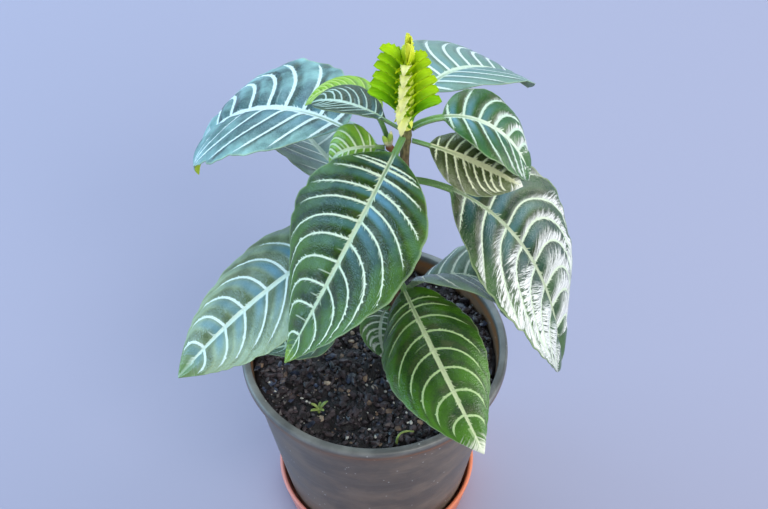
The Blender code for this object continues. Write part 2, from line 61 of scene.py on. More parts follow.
# Pot, saucer and potting mix, in metres
RIM_RADIUS = 0.065
RIM_TOP = 0.115
LIP_HEIGHT = 0.0056
LIP_WIDTH = 0.0040
POT_BASE_RADIUS = 0.0452
POT_WALL = 0.0016
POT_FLOOR = 0.0018
SAUCER_RIM_RADIUS = 0.0515
SAUCER_HEIGHT = 0.0195
SAUCER_BASE_RADIUS = 0.0480
SAUCER_WALL = 0.0018
SAUCER_FLOOR = 0.0022
SAUCER_RIM_WIDTH = 0.0022
SAUCER_COLLAR = 0.0040
FOOT_EASE = 0.0010
LIP_BEAD = 0.0016
LIP_STEP = 0.0006
INNER_EASE = 0.0030
DRAIN_HOLES = 6
DRAIN_RADIUS = 0.004
DRAIN_CIRCLE = 0.028
SOIL_TOP = 0.1045
SOIL_INSET = 0.0005
# Crossing waves of the mix's top: turns along x and along y, start, and height in metres
SOIL_WAVES = [(190, 70, 0.0, 0.0007), (-90, 240, 1.3, 0.0007), (410, -330, 0.4, 0.0005)]
# Clods, crumbs and grit on those waves: how fine, and height in metres
SOIL_GRAIN = [(130, 0.0011), (330, 0.0007), (900, 0.0004)]
SOIL_RINGS, SOIL_SIDES = 90, 260
# The mix sinks by this much over its last share next to the wall
SOIL_SINK, SINK_SHARE = 0.0016, 0.07
# How far loose grains keep from the wall and from the stem's middle
GRAIN_CLEAR, STEM_CLEAR = 0.0012, 0.0035
GAP = 0.0003
POT_FOOT = SAUCER_FLOOR + GAP
TURNED_SIDES = 144
PLASTIC_BUMP = 0.00006

# Loose grains in the top of the mix: how many, least and most size in millimetres, flatness, light and dark
# colour, roughness, fineness of the mottling, and the share of the mix's radius that they cover
GRAIN_SEED = 11
Grains = namedtuple("Grains", "name count sizes flatness light dark roughness scale spread")
GRAINS = [
    Grains("soil_crumbs", 3400, (0.35, 2.3), (0.5, 1.0), (84, 74, 80), (14, 12, 18), 0.42, 200.0, 1.0),
    Grains("bark_bits", 110, (0.5, 2.4), (0.25, 0.5), (168, 140, 118), (60, 46, 44), 0.7, 150.0, 1.0),
    # bluish glint chips: real chips, whose bluish colour is partly a painted reflection of the sky in their
    # glints
    Grains("bluish_glint_chips", 120, (1.0, 3.4), (0.2, 0.4), (74, 84, 112), (20, 22, 34), 0.3, 120.0, 1.0),
    Grains("tan_chips", 70, (0.6, 2.0), (0.4, 0.8), (206, 188, 168), (120, 100, 86), 0.55, 150.0, 0.85),
    Grains("pale_grit", 110, (0.3, 1.1), (0.6, 1.0), (226, 226, 220), (176, 178, 176), 0.6, 200.0, 1.0),
]

# Stem, side shoot and bract head, in millimetres
STEM_LINE = np.array([(5, 0, 80), (5, 0, 104), (7.5, 0, 138), (10, 0.5, 153), (12.8, 0.5, 205),
                      (15, 0, 259.9)])
STEM_RADIUS_LOW = 2.5
STEM_RADIUS_HIGH = 2.0
NODE_SWELL = 0.35
NODE_REACH = 3.0
# The scar below each leaf: how far below, how tall and how proud
SCAR_DROP, SCAR_REACH, SCAR_SWELL = 2.2, 0.5, 0.16
STEM_STEP = 0.8
STEM_SIDES = 28
SEAT_GAP = 0.35
SHOOT_ROOT = np.array([11.1, 1.6, 243.5])
SHOOT_END = np.array([8.0, 3.0, 246.0])
SHOOT_RADIUS = 1.7
# The two upright bud leaves: lean direction and length
BUD_LEAVES = [((0.06, -0.12, 1.0), 10.5), ((-0.36, -0.14, 1.0), 8.0)]
HEAD_FOOT = np.array([15.0, 0.0, 260.2])
HEAD_HEIGHT = 51.0
HEAD_LEAN = 0.01
CORE_SHARE = 0.74
CORE_RADIUS = 2.8
BRACT_PAIRS = 12
HEAD_SEED = 4
BUD_WIDTH = 7.6
BUD_TAPER = 0.6
# The upright bracts that close the head: (heading, rise, length)
BUD_BRACTS = [(20, 82, 14), (140, 86, 16.4), (260, 80, 13)]
BRACT_ROWS, BRACT_COLUMNS = 18, 10
# The crossed ranks of bracts: values at the foot and at the top of the head, in degrees and millimetres, and
# from 0 for pale yellow to 1 for green
Rank = namedtuple("Rank", "heading rise fall length width keel taper green")
RANK_PAIRS = [
    (Rank(-3, (66, 76), (4, 20), (22, 14), (13.0, 10.5), 34, 0.5, 0.6),
     Rank(177, (70, 74), (8, 16), (26, 19), (13.5, 11.0), 34, 0.5, 0.68)),
    (Rank(87, (66, 74), (-24, 6), (13, 11), (11.0, 8.5), 30, 0.8, 0.6),
     Rank(256, (58, 70), (-70, -40), (18.5, 15.0), (8.2, 6.4), 14, 0.7, 0.0)),
]
# The small curled tips beside the front rank: heading, rise, fall, length, width, keel, taper and green
HOOK = (221, 58, -40, 8.5, 2.8, 8, 0.7, 0.3)
CORE_GREEN = 0.15
BUD_GREEN = 0.22
TEETH = 0.22
# A bent seedling at the front, as (centre, radius) sections, and a tuft of sprouts on one root
SEEDLING = [((9.6, -52.0, 99.5), 0.6), ((9.6, -52.0, 105.5), 0.6), ((9.8, -51.6, 108.5), 0.55),
            ((11.4, -50.4, 110.8), 0.5), ((14.2, -49.6, 111.4), 0.5), ((17.6, -49.2, 110.4), 0.4)]
SPROUT_ROOT = np.array([-27.0, -32.6, 99.5])
SPROUT_RADIUS = 0.8
# Each sprout leaf: heading, rise and length
SPROUT_LEAVES = [(28, 58, 6.5), (80, 38, 4.0), (165, 66, 6.0), (205, 36, 5.0), (318, 52, 4.2)]
SPROUT_WIDTH = 1.9

# One leaf, posed as in the part's source: degrees and millimetres
Leaf = namedtuple("Leaf", "node height heading swing rise droop bend petiole blade width "
                          "roll_base roll_tip fold edge_droop wave")
LEAVES = [
    Leaf("leaf_front_left", 259, 237, -14, -34, -47, 0.7, 11, 101, 79, 0, 40, 13, 22, 0.6),
    Leaf("leaf_left_low", 212, 190, 27, -26, -33, 1.0, 16, 113, 68, 18, 7, 12, 26, 0.8),
    Leaf("leaf_left_upper", 236, 126, 38, -4, -78, 1.9, 40, 118, 76, 3, -4, 10, 20, 0.8),
    Leaf("leaf_back_left", 191, 128, -22, 11, -34, 1.0, 23, 107, 54, 27, 7, 18, 12, 0.6),
    Leaf("leaf_young_left", 258, 161, -13, 27, -42, 1.5, 10, 37, 22, 35, -10, 19, 13, 0.3),
    Leaf("leaf_back_right", 255, 81, -62, 4, -50, 0.97, 32, 85, 60, 2, -17, 15, 16, 0.6),
    Leaf("leaf_upper_right", 258, 21, -46, 38, -78, 0.7, 17, 57, 41, 14, -13, 15, 24, 0.5),
    Leaf("leaf_right_middle", 254, -9, -1, -9, -32, 0.6, 10.4, 45, 30, 0, 24, 6, 30, 0.4),
    Leaf("leaf_right_large", 229, 15, -74, -14, -85, 0.7, 24, 128, 75, 50, -46, 14, 20, 1.0),
    Leaf("leaf_front_right", 167, 282, 16, 21, -26, 0.9, 15, 91, 49, 31, -13, 2, 40, 0.6),
    Leaf("leaf_right_low", 153, -5, 1, 43, -107, 1.6, 11, 60, 60, -51, -7, 22, 29, 0.5),
    Leaf("leaf_front_small", 146, 236, 54, 20, -28, 1.0, 7, 27, 19, 0, 0, 10, 20, 0.2),
    Leaf("leaf_left_lowest", 145, 194, -5, -29, 2, 1.2, 30, 42, 47, -8, 39, 15, 9, 0.4),
]
SHOOT_LEAVES = [
    Leaf("leaf_shoot_arched", 246, 106, 70, 54, -62, 1.0, 14, 46, 20, 0, 0, 15, 30, 0.2),
    Leaf("leaf_shoot_curled", 246, 188, -26, 12, -100, 1.7, 6, 28, 25, -32, -36, 15, 54, 0.2),
]
PETIOLE_HALF_WIDTH = 1.5
RIB_DEPTH_BASE = 1.5
RIB_DEPTH_TIP = 0.3
RIB_REACH = 1.9
EDGE_WAVES = 3.1
OUTLINE_POWERS = (0.72, 0.95)
BLADE_THICKNESS = 0.5
EDGE_THICKNESS = 0.28
TIP_HALF_WIDTH = 0.12
# The share of the blade over which its fold and droop set in
SETTLE = 0.12
# The groove on top of the midrib and the ridges under the side veins, in millimetres
GROOVE_DEPTH, GROOVE_REACH = 0.3, 0.9
CREASE_DEPTH, CREASE_REACH = 0.22, 1.1

# The skin's grid: rows along blade and petiole, columns across, crowded towards the midrib, and the share of
# both that a small blade gets
BLADE_ROWS = 96
PETIOLE_ROWS = 14
BLADE_COLUMNS = 40
COLUMN_CROWD = 1.3
SMALL_BLADE = 60
SMALL_GRID = 0.65
# A blade shorter than this has a thinner petiole
THIN_BLADE, THIN_PETIOLE = 50, 0.65
# How high the tissue stands between the veins, in millimetres, and how far the margin swells there and how
# ragged it is, as shares of the half-width
QUILT = 0.75
SCALLOP = 0.03
RAGGED_EDGE = 0.005
RAGGED_WAVES = (4, 9, 15)
# Leaves that are quilted and scalloped more than the others, by this factor
RELIEF = {"leaf_left_upper": 2.0, "leaf_left_low": 1.4, "leaf_front_left": 1.2, "leaf_right_large": 1.5,
          "leaf_upper_right": 1.4}
# Leaves with a more ragged margin
RAGGED = {"leaf_right_large": 0.011, "leaf_left_upper": 0.010}
# How far a leaf's last part hangs below its solid's tip, in millimetres, and the share of the blade where it
# starts
HANGING_TIP = {"leaf_left_upper": ((-0.5, -2.5, -6.0), 0.84)}
# The bounds of the gap between side veins, in millimetres, and how unevenly they leave the midrib
GAP_RANGE = (1.0, 22.0)
VEIN_JITTER = 0.008

# A leaf's pale pattern: the side veins of each half, the shares of the blade where the first and the last
# leave the midrib, how they crowd, sweep and hook forward and how far out they reach, the half-widths in
# millimetres of a side vein, its barbs and the midrib, the share of a gap that white feathering fills, and
# where along the blade that begins on the right and on the left half
Veins = namedtuple("Veins", "count first last crowd sweep hook reach half barb rib feather begins",
                   defaults=(0.0, (0.3, 0.3)))
# A leaf's colours, each as red, green and blue out of 255, how much of the tip's colour shows and from which
# share of the blade, and how much bluish painted sheen, a painted reflection of the sky, lies between the
# veins of its right and of its left half
Tint = namedtuple("Tint", "deep fresh vein rib tip tip_share tip_from bloom")

PATTERNS = {
    "leaf_front_left": Veins(11, 0.05, 0.86, 1.6, 0.045, 0.19, 0.93, 0.50, 0.9, 1.3),
    "leaf_left_low": Veins(9, 0.05, 0.84, 1.2, 0.05, 0.16, 0.86, 0.65, 0.5, 1.45),
    "leaf_left_upper": Veins(8, 0.05, 0.74, 1.15, 0.05, 0.17, 0.94, 1.05, 0.6, 1.7),
    "leaf_back_left": Veins(9, 0.05, 0.78, 1.2, 0.06, 0.16, 0.90, 0.70, 0.3, 1.3),
    "leaf_young_left": Veins(8, 0.06, 0.76, 1.1, 0.10, 0.22, 0.9, 0.34, 0.2, 0.8),
    "leaf_back_right": Veins(9, 0.05, 0.80, 1.2, 0.06, 0.16, 0.92, 0.85, 0.3, 1.5, 0.1),
    "leaf_upper_right": Veins(6, 0.04, 0.70, 1.1, 0.07, 0.18, 0.92, 0.55, 0.8, 1.2, 0.65, (0.45, 0.36)),
    "leaf_right_middle": Veins(8, 0.08, 0.74, 1.1, 0.10, 0.16, 0.85, 0.42, 0.7, 1.3, 0.35, (0.62, 0.55)),
    "leaf_right_large": Veins(8, 0.06, 0.78, 1.0, -0.06, 0.34, 0.97, 0.55, 0.9, 0.95, 1.1, (0.12, 0.27)),
    "leaf_front_right": Veins(8, 0.10, 0.80, 1.35, 0.05, 0.18, 0.84, 0.50, 0.5, 1.0),
    "leaf_right_low": Veins(8, 0.06, 0.78, 1.2, 0.06, 0.18, 0.92, 0.55, 0.4, 1.0, 0.2),
    "leaf_front_small": Veins(6, 0.08, 0.72, 1.1, 0.06, 0.20, 0.85, 0.40, 0.4, 0.7, 0.35),
    "leaf_left_lowest": Veins(6, 0.08, 0.74, 1.1, 0.06, 0.20, 0.88, 0.50, 0.3, 1.0),
    "leaf_shoot_arched": Veins(10, 0.08, 0.84, 1.1, 0.16, 0.20, 0.92, 0.34, 0.1, 0.6),
    "leaf_shoot_curled": Veins(7, 0.08, 0.76, 1.1, 0.14, 0.20, 0.88, 0.38, 0.15, 0.7, 0.05),
}
TINTS = {
    "leaf_front_left": Tint((24, 50, 8), (78, 118, 26), (236, 248, 218),
        (214, 228, 190), (144, 180, 42), 0.85, 0.90, (0.42, 1.0)),
    "leaf_left_low": Tint((82, 104, 70), (164, 184, 144), (232, 248, 240),
        (220, 238, 222), (98, 138, 54), 0.65, 0.88, (0.95, 0.8)),
    # painted reflection: this leaf's pale bluish-teal tissue and veins stand for the sky reflected on a green
    # leaf
    "leaf_left_upper": Tint((20, 62, 60), (156, 206, 202), (232, 250, 248),
        (232, 248, 244), (176, 204, 40), 1.0, 0.88, (0.4, 0.6)),
    # painted light and reflection: lightened and tinted pale teal where this leaf lies in the shade of
    # leaf_left_upper
    "leaf_back_left": Tint((112, 146, 146), (160, 190, 184), (216, 234, 232),
        (206, 226, 212), (120, 160, 90), 0.3, 0.94, (0.35, 0.35)),
    "leaf_young_left": Tint((34, 60, 40), (52, 84, 50), (190, 216, 206),
        (200, 224, 210), (200, 220, 200), 0.2, 0.94, (0.45, 0.45)),
    # painted reflection: pale teal-grey, standing for the sky reflected on a green leaf
    "leaf_back_right": Tint((104, 142, 128), (134, 168, 150), (222, 238, 230),
        (212, 232, 210), (214, 226, 200), 0.5, 0.94, (0.45, 0.45)),
    "leaf_upper_right": Tint((30, 70, 24), (66, 118, 42), (206, 230, 210),
        (212, 230, 206), (240, 244, 232), 0.9, 0.92, (0.7, 0.55)),
    "leaf_right_middle": Tint((56, 68, 36), (106, 120, 78), (232, 238, 200),
        (224, 228, 184), (244, 248, 236), 0.9, 0.88, (0, 0)),
    "leaf_right_large": Tint((16, 46, 12), (70, 104, 46), (216, 232, 204),
        (182, 196, 164), (250, 252, 226), 0.8, 0.93, (0.34, 0.42)),
    "leaf_front_right": Tint((38, 66, 30), (76, 126, 28), (184, 212, 150),
        (200, 216, 168), (236, 240, 218), 0.9, 0.90, (0, 0)),
    "leaf_right_low": Tint((80, 112, 88), (136, 166, 134), (226, 234, 216),
        (220, 230, 210), (240, 242, 232), 0.7, 0.93, (0.2, 0.2)),
    "leaf_front_small": Tint((60, 100, 56), (100, 140, 84), (228, 238, 224),
        (228, 238, 222), (240, 242, 232), 0.9, 0.9, (0, 0)),
    "leaf_left_lowest": Tint((52, 92, 72), (86, 130, 92), (184, 214, 192),
        (194, 220, 194), (150, 190, 120), 0.4, 0.93, (0.2, 0.2)),
    "leaf_shoot_arched": Tint((116, 170, 34), (168, 212, 50), (196, 226, 110),
        (208, 228, 140), (170, 206, 70), 0.6, 0.9, (0, 0)),
    "leaf_shoot_curled": Tint((96, 150, 44), (150, 196, 66), (220, 238, 196),
        (214, 234, 194), (150, 196, 70), 0.6, 0.9, (0, 0)),
}

# Other colours, out of 255
PAINT = {
    # painted sheen: a bluish painted reflection of the sky, laid between the leaves' veins
    "bloom": (98, 152, 176), "olive_shade": (88, 94, 58), "feather": (252, 255, 250), "margin": (182, 204, 152),
    "groove": (112, 142, 92), "petiole foot": (64, 106, 50), "petiole": (116, 158, 88),
    "underside": (112, 138, 96), "underside vein": (176, 196, 150),
    "pot": (88, 80, 70), "pot dust": (124, 110, 96), "pot scuff": (142, 132, 118), "stain": (138, 92, 54),
    # lip and lip highlight: the lip's top, lighter and bluish grey as painted highlight
    "lip": (98, 100, 100), "lip highlight": (132, 134, 132), "speck": (206, 208, 206),
    # saucer left and saucer right: one colour, tinted by side as painted light
    "saucer left": (236, 150, 138), "saucer right": (232, 132, 92), "saucer dirt": (132, 68, 48),
    "bark": (84, 60, 42), "bark ridge": (150, 118, 88),
    "young stem": (84, 96, 52), "young ridge": (128, 134, 78),
    "bud": (250, 240, 196), "bud green": (168, 198, 84), "bud foot": (136, 84, 56),
    # bract and edge colours: the edges' brighter colours are partly painted highlight, the deeper ones partly
    # painted shade
    "pale bract": (250, 255, 104), "pale edge highlight": (255, 255, 184),
    "yellow bract": (204, 222, 10), "yellow edge highlight": (240, 250, 30),
    "green bract": (84, 146, 0), "green edge highlight": (162, 218, 0),
}
# How much olive shows on the base side of each vein: partly the leaf's own mottling, partly painted shade of
# the crease
OLIVE_SHADE_SHARE = 0.45
# Shine of the leaves, and how much of the painted sheen goes on towards the tip: for most, and for those that
# differ
LEAF_SPECULAR, DULLER = 0.4, {"leaf_front_left": 0.27}
SHEEN_AT_TIP, FAR_SHEEN = 0.1, {"leaf_left_low": 0.8}
# How far, in millimetres, a pale tip's streaks run back into the green, and over what share it fades
TIP_STREAK = 18.0
TIP_FADE = 0.08
# What each point of a leaf carries: the side vein's number, gap and half-width, the distances from the
# midrib, along the vein and along the blade, the shares along and across, and 1 on the underside
FIELDS = ("vein", "gap", "vein_half", "rib", "along", "length", "u", "across", "under")
# How far apart the noise of neighbouring side veins lies, and that of the blade's two halves
VEIN_STEP, HALF_STEP = 7.3, 3.1
# How soft a vein's edge is, in millimetres
SOFT = 0.15

# The studio: panels by name, place, size, power and tint, the point they face, and the floor and the sky
Panel = namedtuple("Panel", "name place size power tint")
PANELS = [
    Panel("back_sky", (-0.25, 1.25, 1.35), (2.2, 1.4), 28.0, (0.66, 0.86, 1.0)),
    Panel("left_sky", (-1.45, 0.3, 0.5), (0.9, 0.5), 13.0, (0.42, 0.74, 1.0)),
    Panel("front_fill", (0.7, -1.1, 1.3), (1.0, 0.8), 16.0, (1.0, 0.97, 0.90)),
    Panel("right_fill", (1.5, 0.25, 0.4), (0.9, 0.9), 12.0, (1.0, 1.0, 1.0)),
]
PANEL_AIM = (0, 0, 0.2)
FLOOR_SIZE = 6
FLOOR_DROP = 0.0002
FLOOR_TINT = (0.36, 0.36, 0.49, 1.0)
SKY_TINT = (0.80, 0.88, 1.0, 1.0)
SKY_STRENGTH = 0.5


def colour(paint):
    """A colour out of 255, or the name of one, as linear light."""
    share = np.array(PAINT.get(paint, paint)) / 255
    return (*np.where(share <= 0.04045, share / 12.92, ((share + 0.055) / 1.055) ** 2.4).tolist(), 1.0)


def unit(vector):
    return vector / np.linalg.norm(vector)


def outline_share(u):
    """Half-width of the blade at a share of its length: broadest before the middle, pointed at the tip."""
    rise, fall = OUTLINE_POWERS
    peak = (rise / (rise + fall)) ** rise * (fall / (rise + fall)) ** fall
    return u ** rise * (1 - u) ** fall / peak


def midrib(leaf, base, count=120):
    """Points, directions, side vectors and upper normals along a leaf, in millimetres."""
    share = np.linspace(0, 1, count)
    length = leaf.petiole + leaf.blade
    rise = np.radians(leaf.rise + (leaf.droop - leaf.rise) * share ** leaf.bend)
    head = np.radians(leaf.heading + leaf.swing * share)
    ahead = np.stack([np.cos(rise) * np.cos(head), np.cos(rise) * np.sin(head), np.sin(rise)], 1)
    steps = (ahead[1:] + ahead[:-1]) / 2 * length / (count - 1)
    points = base + np.vstack([np.zeros(3), np.cumsum(steps, 0)])
    flat = np.stack([-np.sin(head), np.cos(head), np.zeros(count)], 1)
    up = np.cross(ahead, flat)
    roll = np.radians(leaf.roll_base + (leaf.roll_tip - leaf.roll_base) * share)[:, None]
    side = np.cos(roll) * flat + np.sin(roll) * up
    normal = -np.sin(roll) * flat + np.cos(roll) * up
    return share, points, ahead, side, normal


def stem_point(height):
    return np.array([np.interp(height, STEM_LINE[:, 2], STEM_LINE[:, k]) for k in range(2)] + [height])


def stem_radius(height):
    low, high = STEM_LINE[1][2], STEM_LINE[-1][2]
    share = np.clip((height - low) / (high - low), 0, 1)
    radius = STEM_RADIUS_LOW + (STEM_RADIUS_HIGH - STEM_RADIUS_LOW) * share
    swell = max(math.exp(-((height - leaf.height) / NODE_REACH) ** 2) for leaf in LEAVES)
    return radius + NODE_SWELL * swell


def vein_field(leaf, veins, u, across, half, draw):
    """Where each point lies among the side veins, and the pattern's sizes there in millimetres."""
    reach = np.abs(across)
    number = np.zeros_like(u)
    gap = np.ones_like(u)
    share = np.linspace(-0.2, 1.3, 400)
    bend = 1.35 * np.clip((share - 0.06) / 0.29, 0.05, 1) - 0.8 * np.clip((share - 0.5) / 0.3, 0, 1)
    order = np.arange(veins.count)
    middle = u.shape[1] // 2
    for columns in (slice(0, middle + 1), slice(middle, None)):
        starts = veins.first + (veins.last - veins.first) * (order / (veins.count - 1)) ** veins.crowd
        starts = starts + np.array([draw.uniform(-VEIN_JITTER, VEIN_JITTER) for _ in starts])
        before, after = starts[0] * 1.5 - starts[1] / 2, starts[-1] * 1.5 - starts[-2] / 2
        marks = np.concatenate([[before], starts, [after]])
        counts = np.concatenate([[0], order + 0.5, [veins.count]])
        mine = []
        for out in reach[0, columns]:
            arrives = np.maximum.accumulate(share + (veins.sweep * out + veins.hook * out ** 3) * bend)
            mine.append(np.interp(np.interp(u[:, 0], arrives, share), marks, counts))
        mine = np.stack(mine, 1)
        width = (np.maximum(half, 2.0) * reach)[:, columns]
        down = np.gradient(mine, axis=0) / np.maximum(np.gradient(u[:, columns] * leaf.blade, axis=0), 1e-3)
        out = np.gradient(mine, axis=1) / np.maximum(np.abs(np.gradient(width, axis=1)), 1e-3)
        steep = np.hypot(down, out)
        steep = (steep + np.roll(steep, 1, 0) + np.roll(steep, -1, 0)) / 3
        number[:, columns] = mine
        gap[:, columns] = 1 / np.maximum(steep, 1 / GAP_RANGE[1])
    gap = np.clip(gap, *GAP_RANGE)
    ends = [veins.reach + draw.uniform(-0.05, 0.02) for _ in range(veins.count + 1)]
    end = np.array(ends)[np.clip(np.floor(number), 0, veins.count).astype(int)]
    fade = np.clip((end - reach) / 0.12, -1.0, 1.0)
    size = veins.half * (1 - 0.4 * reach)
    size = np.minimum(size, 0.24 * gap) * np.where(fade < 1, fade, 1)
    size = np.where((u < 0.0) | (number <= 0.02) | (number >= veins.count - 0.02), -1.0, size)
    return number, gap, size


def leaf_points(leaf, base, clear, upright_start, draw):
    """A fine closed skin of the leaf, formed as its solid, with its pattern's sizes at each point."""
    share, points, ahead, side, normal = midrib(leaf, base)
    from_base = np.linalg.norm((points - base)[:, :2 if upright_start else 3], axis=1)
    start = float(np.interp(clear, from_base, share))
    blade_start = leaf.petiole / (leaf.petiole + leaf.blade)
    scale = 1.0 if leaf.blade > SMALL_BLADE else SMALL_GRID
    columns = int(BLADE_COLUMNS * scale) // 2 * 2
    even = np.linspace(0, 1, int(BLADE_ROWS * scale) + 1)
    eased = (1 - np.cos(np.pi * even)) / 2
    stalk = np.linspace(start, blade_start, PETIOLE_ROWS, endpoint=False)
    stations = np.concatenate([stalk, blade_start + (1 - blade_start) * (0.4 * eased + 0.6 * even)])
    centre, way, over, up = (np.stack([np.interp(stations, share, array[:, k]) for k in range(3)], 1)[:, None]
                             for array in (points, ahead, side, normal))
    step = np.linspace(-1, 1, columns + 1)
    across, u = np.meshgrid(np.sign(step) * np.abs(step) ** COLUMN_CROWD,
                            (stations - blade_start) / (1 - blade_start))
    reach = np.abs(across)

    on_blade = np.clip(u, 0, 1)
    half = leaf.width / 2 * outline_share(on_blade)
    narrow = PETIOLE_HALF_WIDTH * (1.0 if leaf.blade > THIN_BLADE else THIN_PETIOLE)
    wing = narrow * np.where(u <= 0, 1.0, np.maximum(0.25, 1 - on_blade * 1.2))
    half = np.where(u < 0.5, np.hypot(half, wing), np.maximum(half, TIP_HALF_WIDTH))
    settled = np.clip(u / SETTLE, 0, 1)
    fold = np.radians(leaf.fold) * settled
    droop = np.maximum(np.radians(leaf.edge_droop) * settled, 1e-4)
    out = half * (np.sin(fold) - np.sin(fold - droop * reach)) / droop * np.sign(across)
    lift = half * (np.cos(fold - droop * reach) - np.cos(fold)) / droop
    wave = np.sin(2 * math.pi * (EDGE_WAVES * u + 0.2 * np.sign(across)))
    lift = lift + leaf.wave * wave * reach ** 3 * settled * (1 - u)

    number, gap, size = vein_field(leaf, PATTERNS[leaf.node], u, across, half, draw)
    off_rib = np.clip((np.abs(out) - 0.8) / 4.0, 0, 1)
    dome = np.abs(np.cos(math.pi * number)) ** 0.8
    relief = RELIEF.get(leaf.node, 1.0)
    rise = relief * QUILT * np.clip(gap / 9.0, 0.2, 1.2) * dome
    lift = lift + rise * off_rib * (1 - reach ** 4) * settled
    margin = np.where(across < 0, dome[:, :1], dome[:, -1:])
    out = out * (1 + relief * SCALLOP * (margin - 0.5) * reach ** 3 * settled)
    ragged = RAGGED.get(leaf.node, RAGGED_EDGE)
    for waves in RAGGED_WAVES:
        phase = np.where(across < 0, draw.uniform(0, 6.28), draw.uniform(0, 6.28))
        out = out * (1 + ragged * np.sin(2 * math.pi * waves * u + phase) * reach ** 5 * settled)
    crease = np.exp(-((np.abs(number % 1 - 0.5) * gap) / CREASE_REACH) ** 2) * off_rib * settled * (size > 0)

    depth = RIB_DEPTH_BASE + (RIB_DEPTH_TIP - RIB_DEPTH_BASE) * on_blade ** 0.5
    rib = depth * narrow / PETIOLE_HALF_WIDTH * np.clip(1 - (np.abs(out) / RIB_REACH) ** 2, 0, 1) ** 0.8
    thick = (BLADE_THICKNESS + (EDGE_THICKNESS - BLADE_THICKNESS) * reach ** 2) / 2
    groove = GROOVE_DEPTH * np.clip(1 - np.abs(out) / GROOVE_REACH, 0, 1) * (1 - 0.6 * settled)
    middle = centre + out[..., None] * over + lift[..., None] * up
    top = middle + (thick - groove)[..., None] * up
    under = middle - (thick + rib + CREASE_DEPTH * crease)[..., None] * up
    rings = np.concatenate([top, under[:, ::-1]], 1)
    hang, begins = HANGING_TIP.get(leaf.node, ((0, 0, 0), 0))
    rings = rings + (np.clip((u[:, :1] - begins) / (1 - begins), 0, 1) ** 1.3)[..., None] * np.array(hang)
    if upright_start:
        level = unit(way[0, 0] * (1, 1, 0))
        rings[0] = rings[0] + np.outer((centre[0] - rings[0]) @ level, way[0, 0]) / (way[0, 0] @ level)

    grids = (number, gap, size, np.abs(out), reach * half, u * leaf.blade, u, across)
    fields = {name: np.concatenate([grid, grid[:, ::-1]], 1).ravel() for name, grid in zip(FIELDS, grids)}
    fields["under"] = np.concatenate([np.zeros_like(u), np.ones_like(u)], 1).ravel()
    return rings, fields


def quads(ring_count, size):
    """Quads between neighbouring closed rings."""
    return [(a + k, a + (k + 1) % size, a + size + (k + 1) % size, a + size + k)
            for a in range(0, (ring_count - 1) * size, size) for k in range(size)]


def ring_faces(ring_count, size):
    """Quads over closed rings, and a strip of quads across each end."""
    faces = quads(ring_count, size)
    last = (ring_count - 1) * size
    for k in range(size // 2 - 1):
        faces.append((k + 1, k, size - 1 - k, size - 2 - k))
        faces.append((last + k, last + k + 1, last + size - 2 - k, last + size - 1 - k))
    return faces


def tube_faces(ring_count, sides):
    """Quads over closed rings, and one flat face across each end."""
    last = (ring_count - 1) * sides
    return quads(ring_count, sides) + [tuple(range(sides))[::-1], tuple(range(last, last + sides))]


def new_object(name, data):
    made = bpy.data.objects.new(name, data)
    bpy.context.scene.collection.objects.link(made)
    return made


def add_piece(name, points, faces, material, node, fields=None, sharp=60):
    """A piece from points in millimetres, which rides on the one body and may stand for a CAD node."""
    mesh = bpy.data.meshes.new(name)
    mesh.from_pydata((np.asarray(points) * MM).tolist(), [], faces)
    for label, values in (fields or {}).items():
        attribute = mesh.attributes.new(label, 'FLOAT', 'POINT')
        attribute.data.foreach_set("value", np.asarray(values, np.float32))
    mesh.materials.append(material)
    mesh.shade_smooth()
    if sharp:
        mesh.set_sharp_from_angle(angle=math.radians(sharp))
    piece = new_object(name, mesh)
    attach(piece, "root")
    if node:
        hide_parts(node)
    return piece


def dress(node, skins, material, fields=None, sharp=60):
    """The fine piece of a node, from closed skins, each as its rings and the function that closes them."""
    points, faces = [], []
    for rings, close in skins:
        faces += [tuple(k + len(points) for k in face) for face in close(*rings.shape[:2])]
        points += rings.reshape(-1, 3).tolist()
    return add_piece(node + "_fine", points, faces, material, node, fields, sharp)


def add_leaf(leaf, base, clear, upright_start):
    rings, fields = leaf_points(leaf, base, clear, upright_start, random.Random(leaf.node))
    dress(leaf.node, [(rings, ring_faces)], leaf_material(leaf), fields)


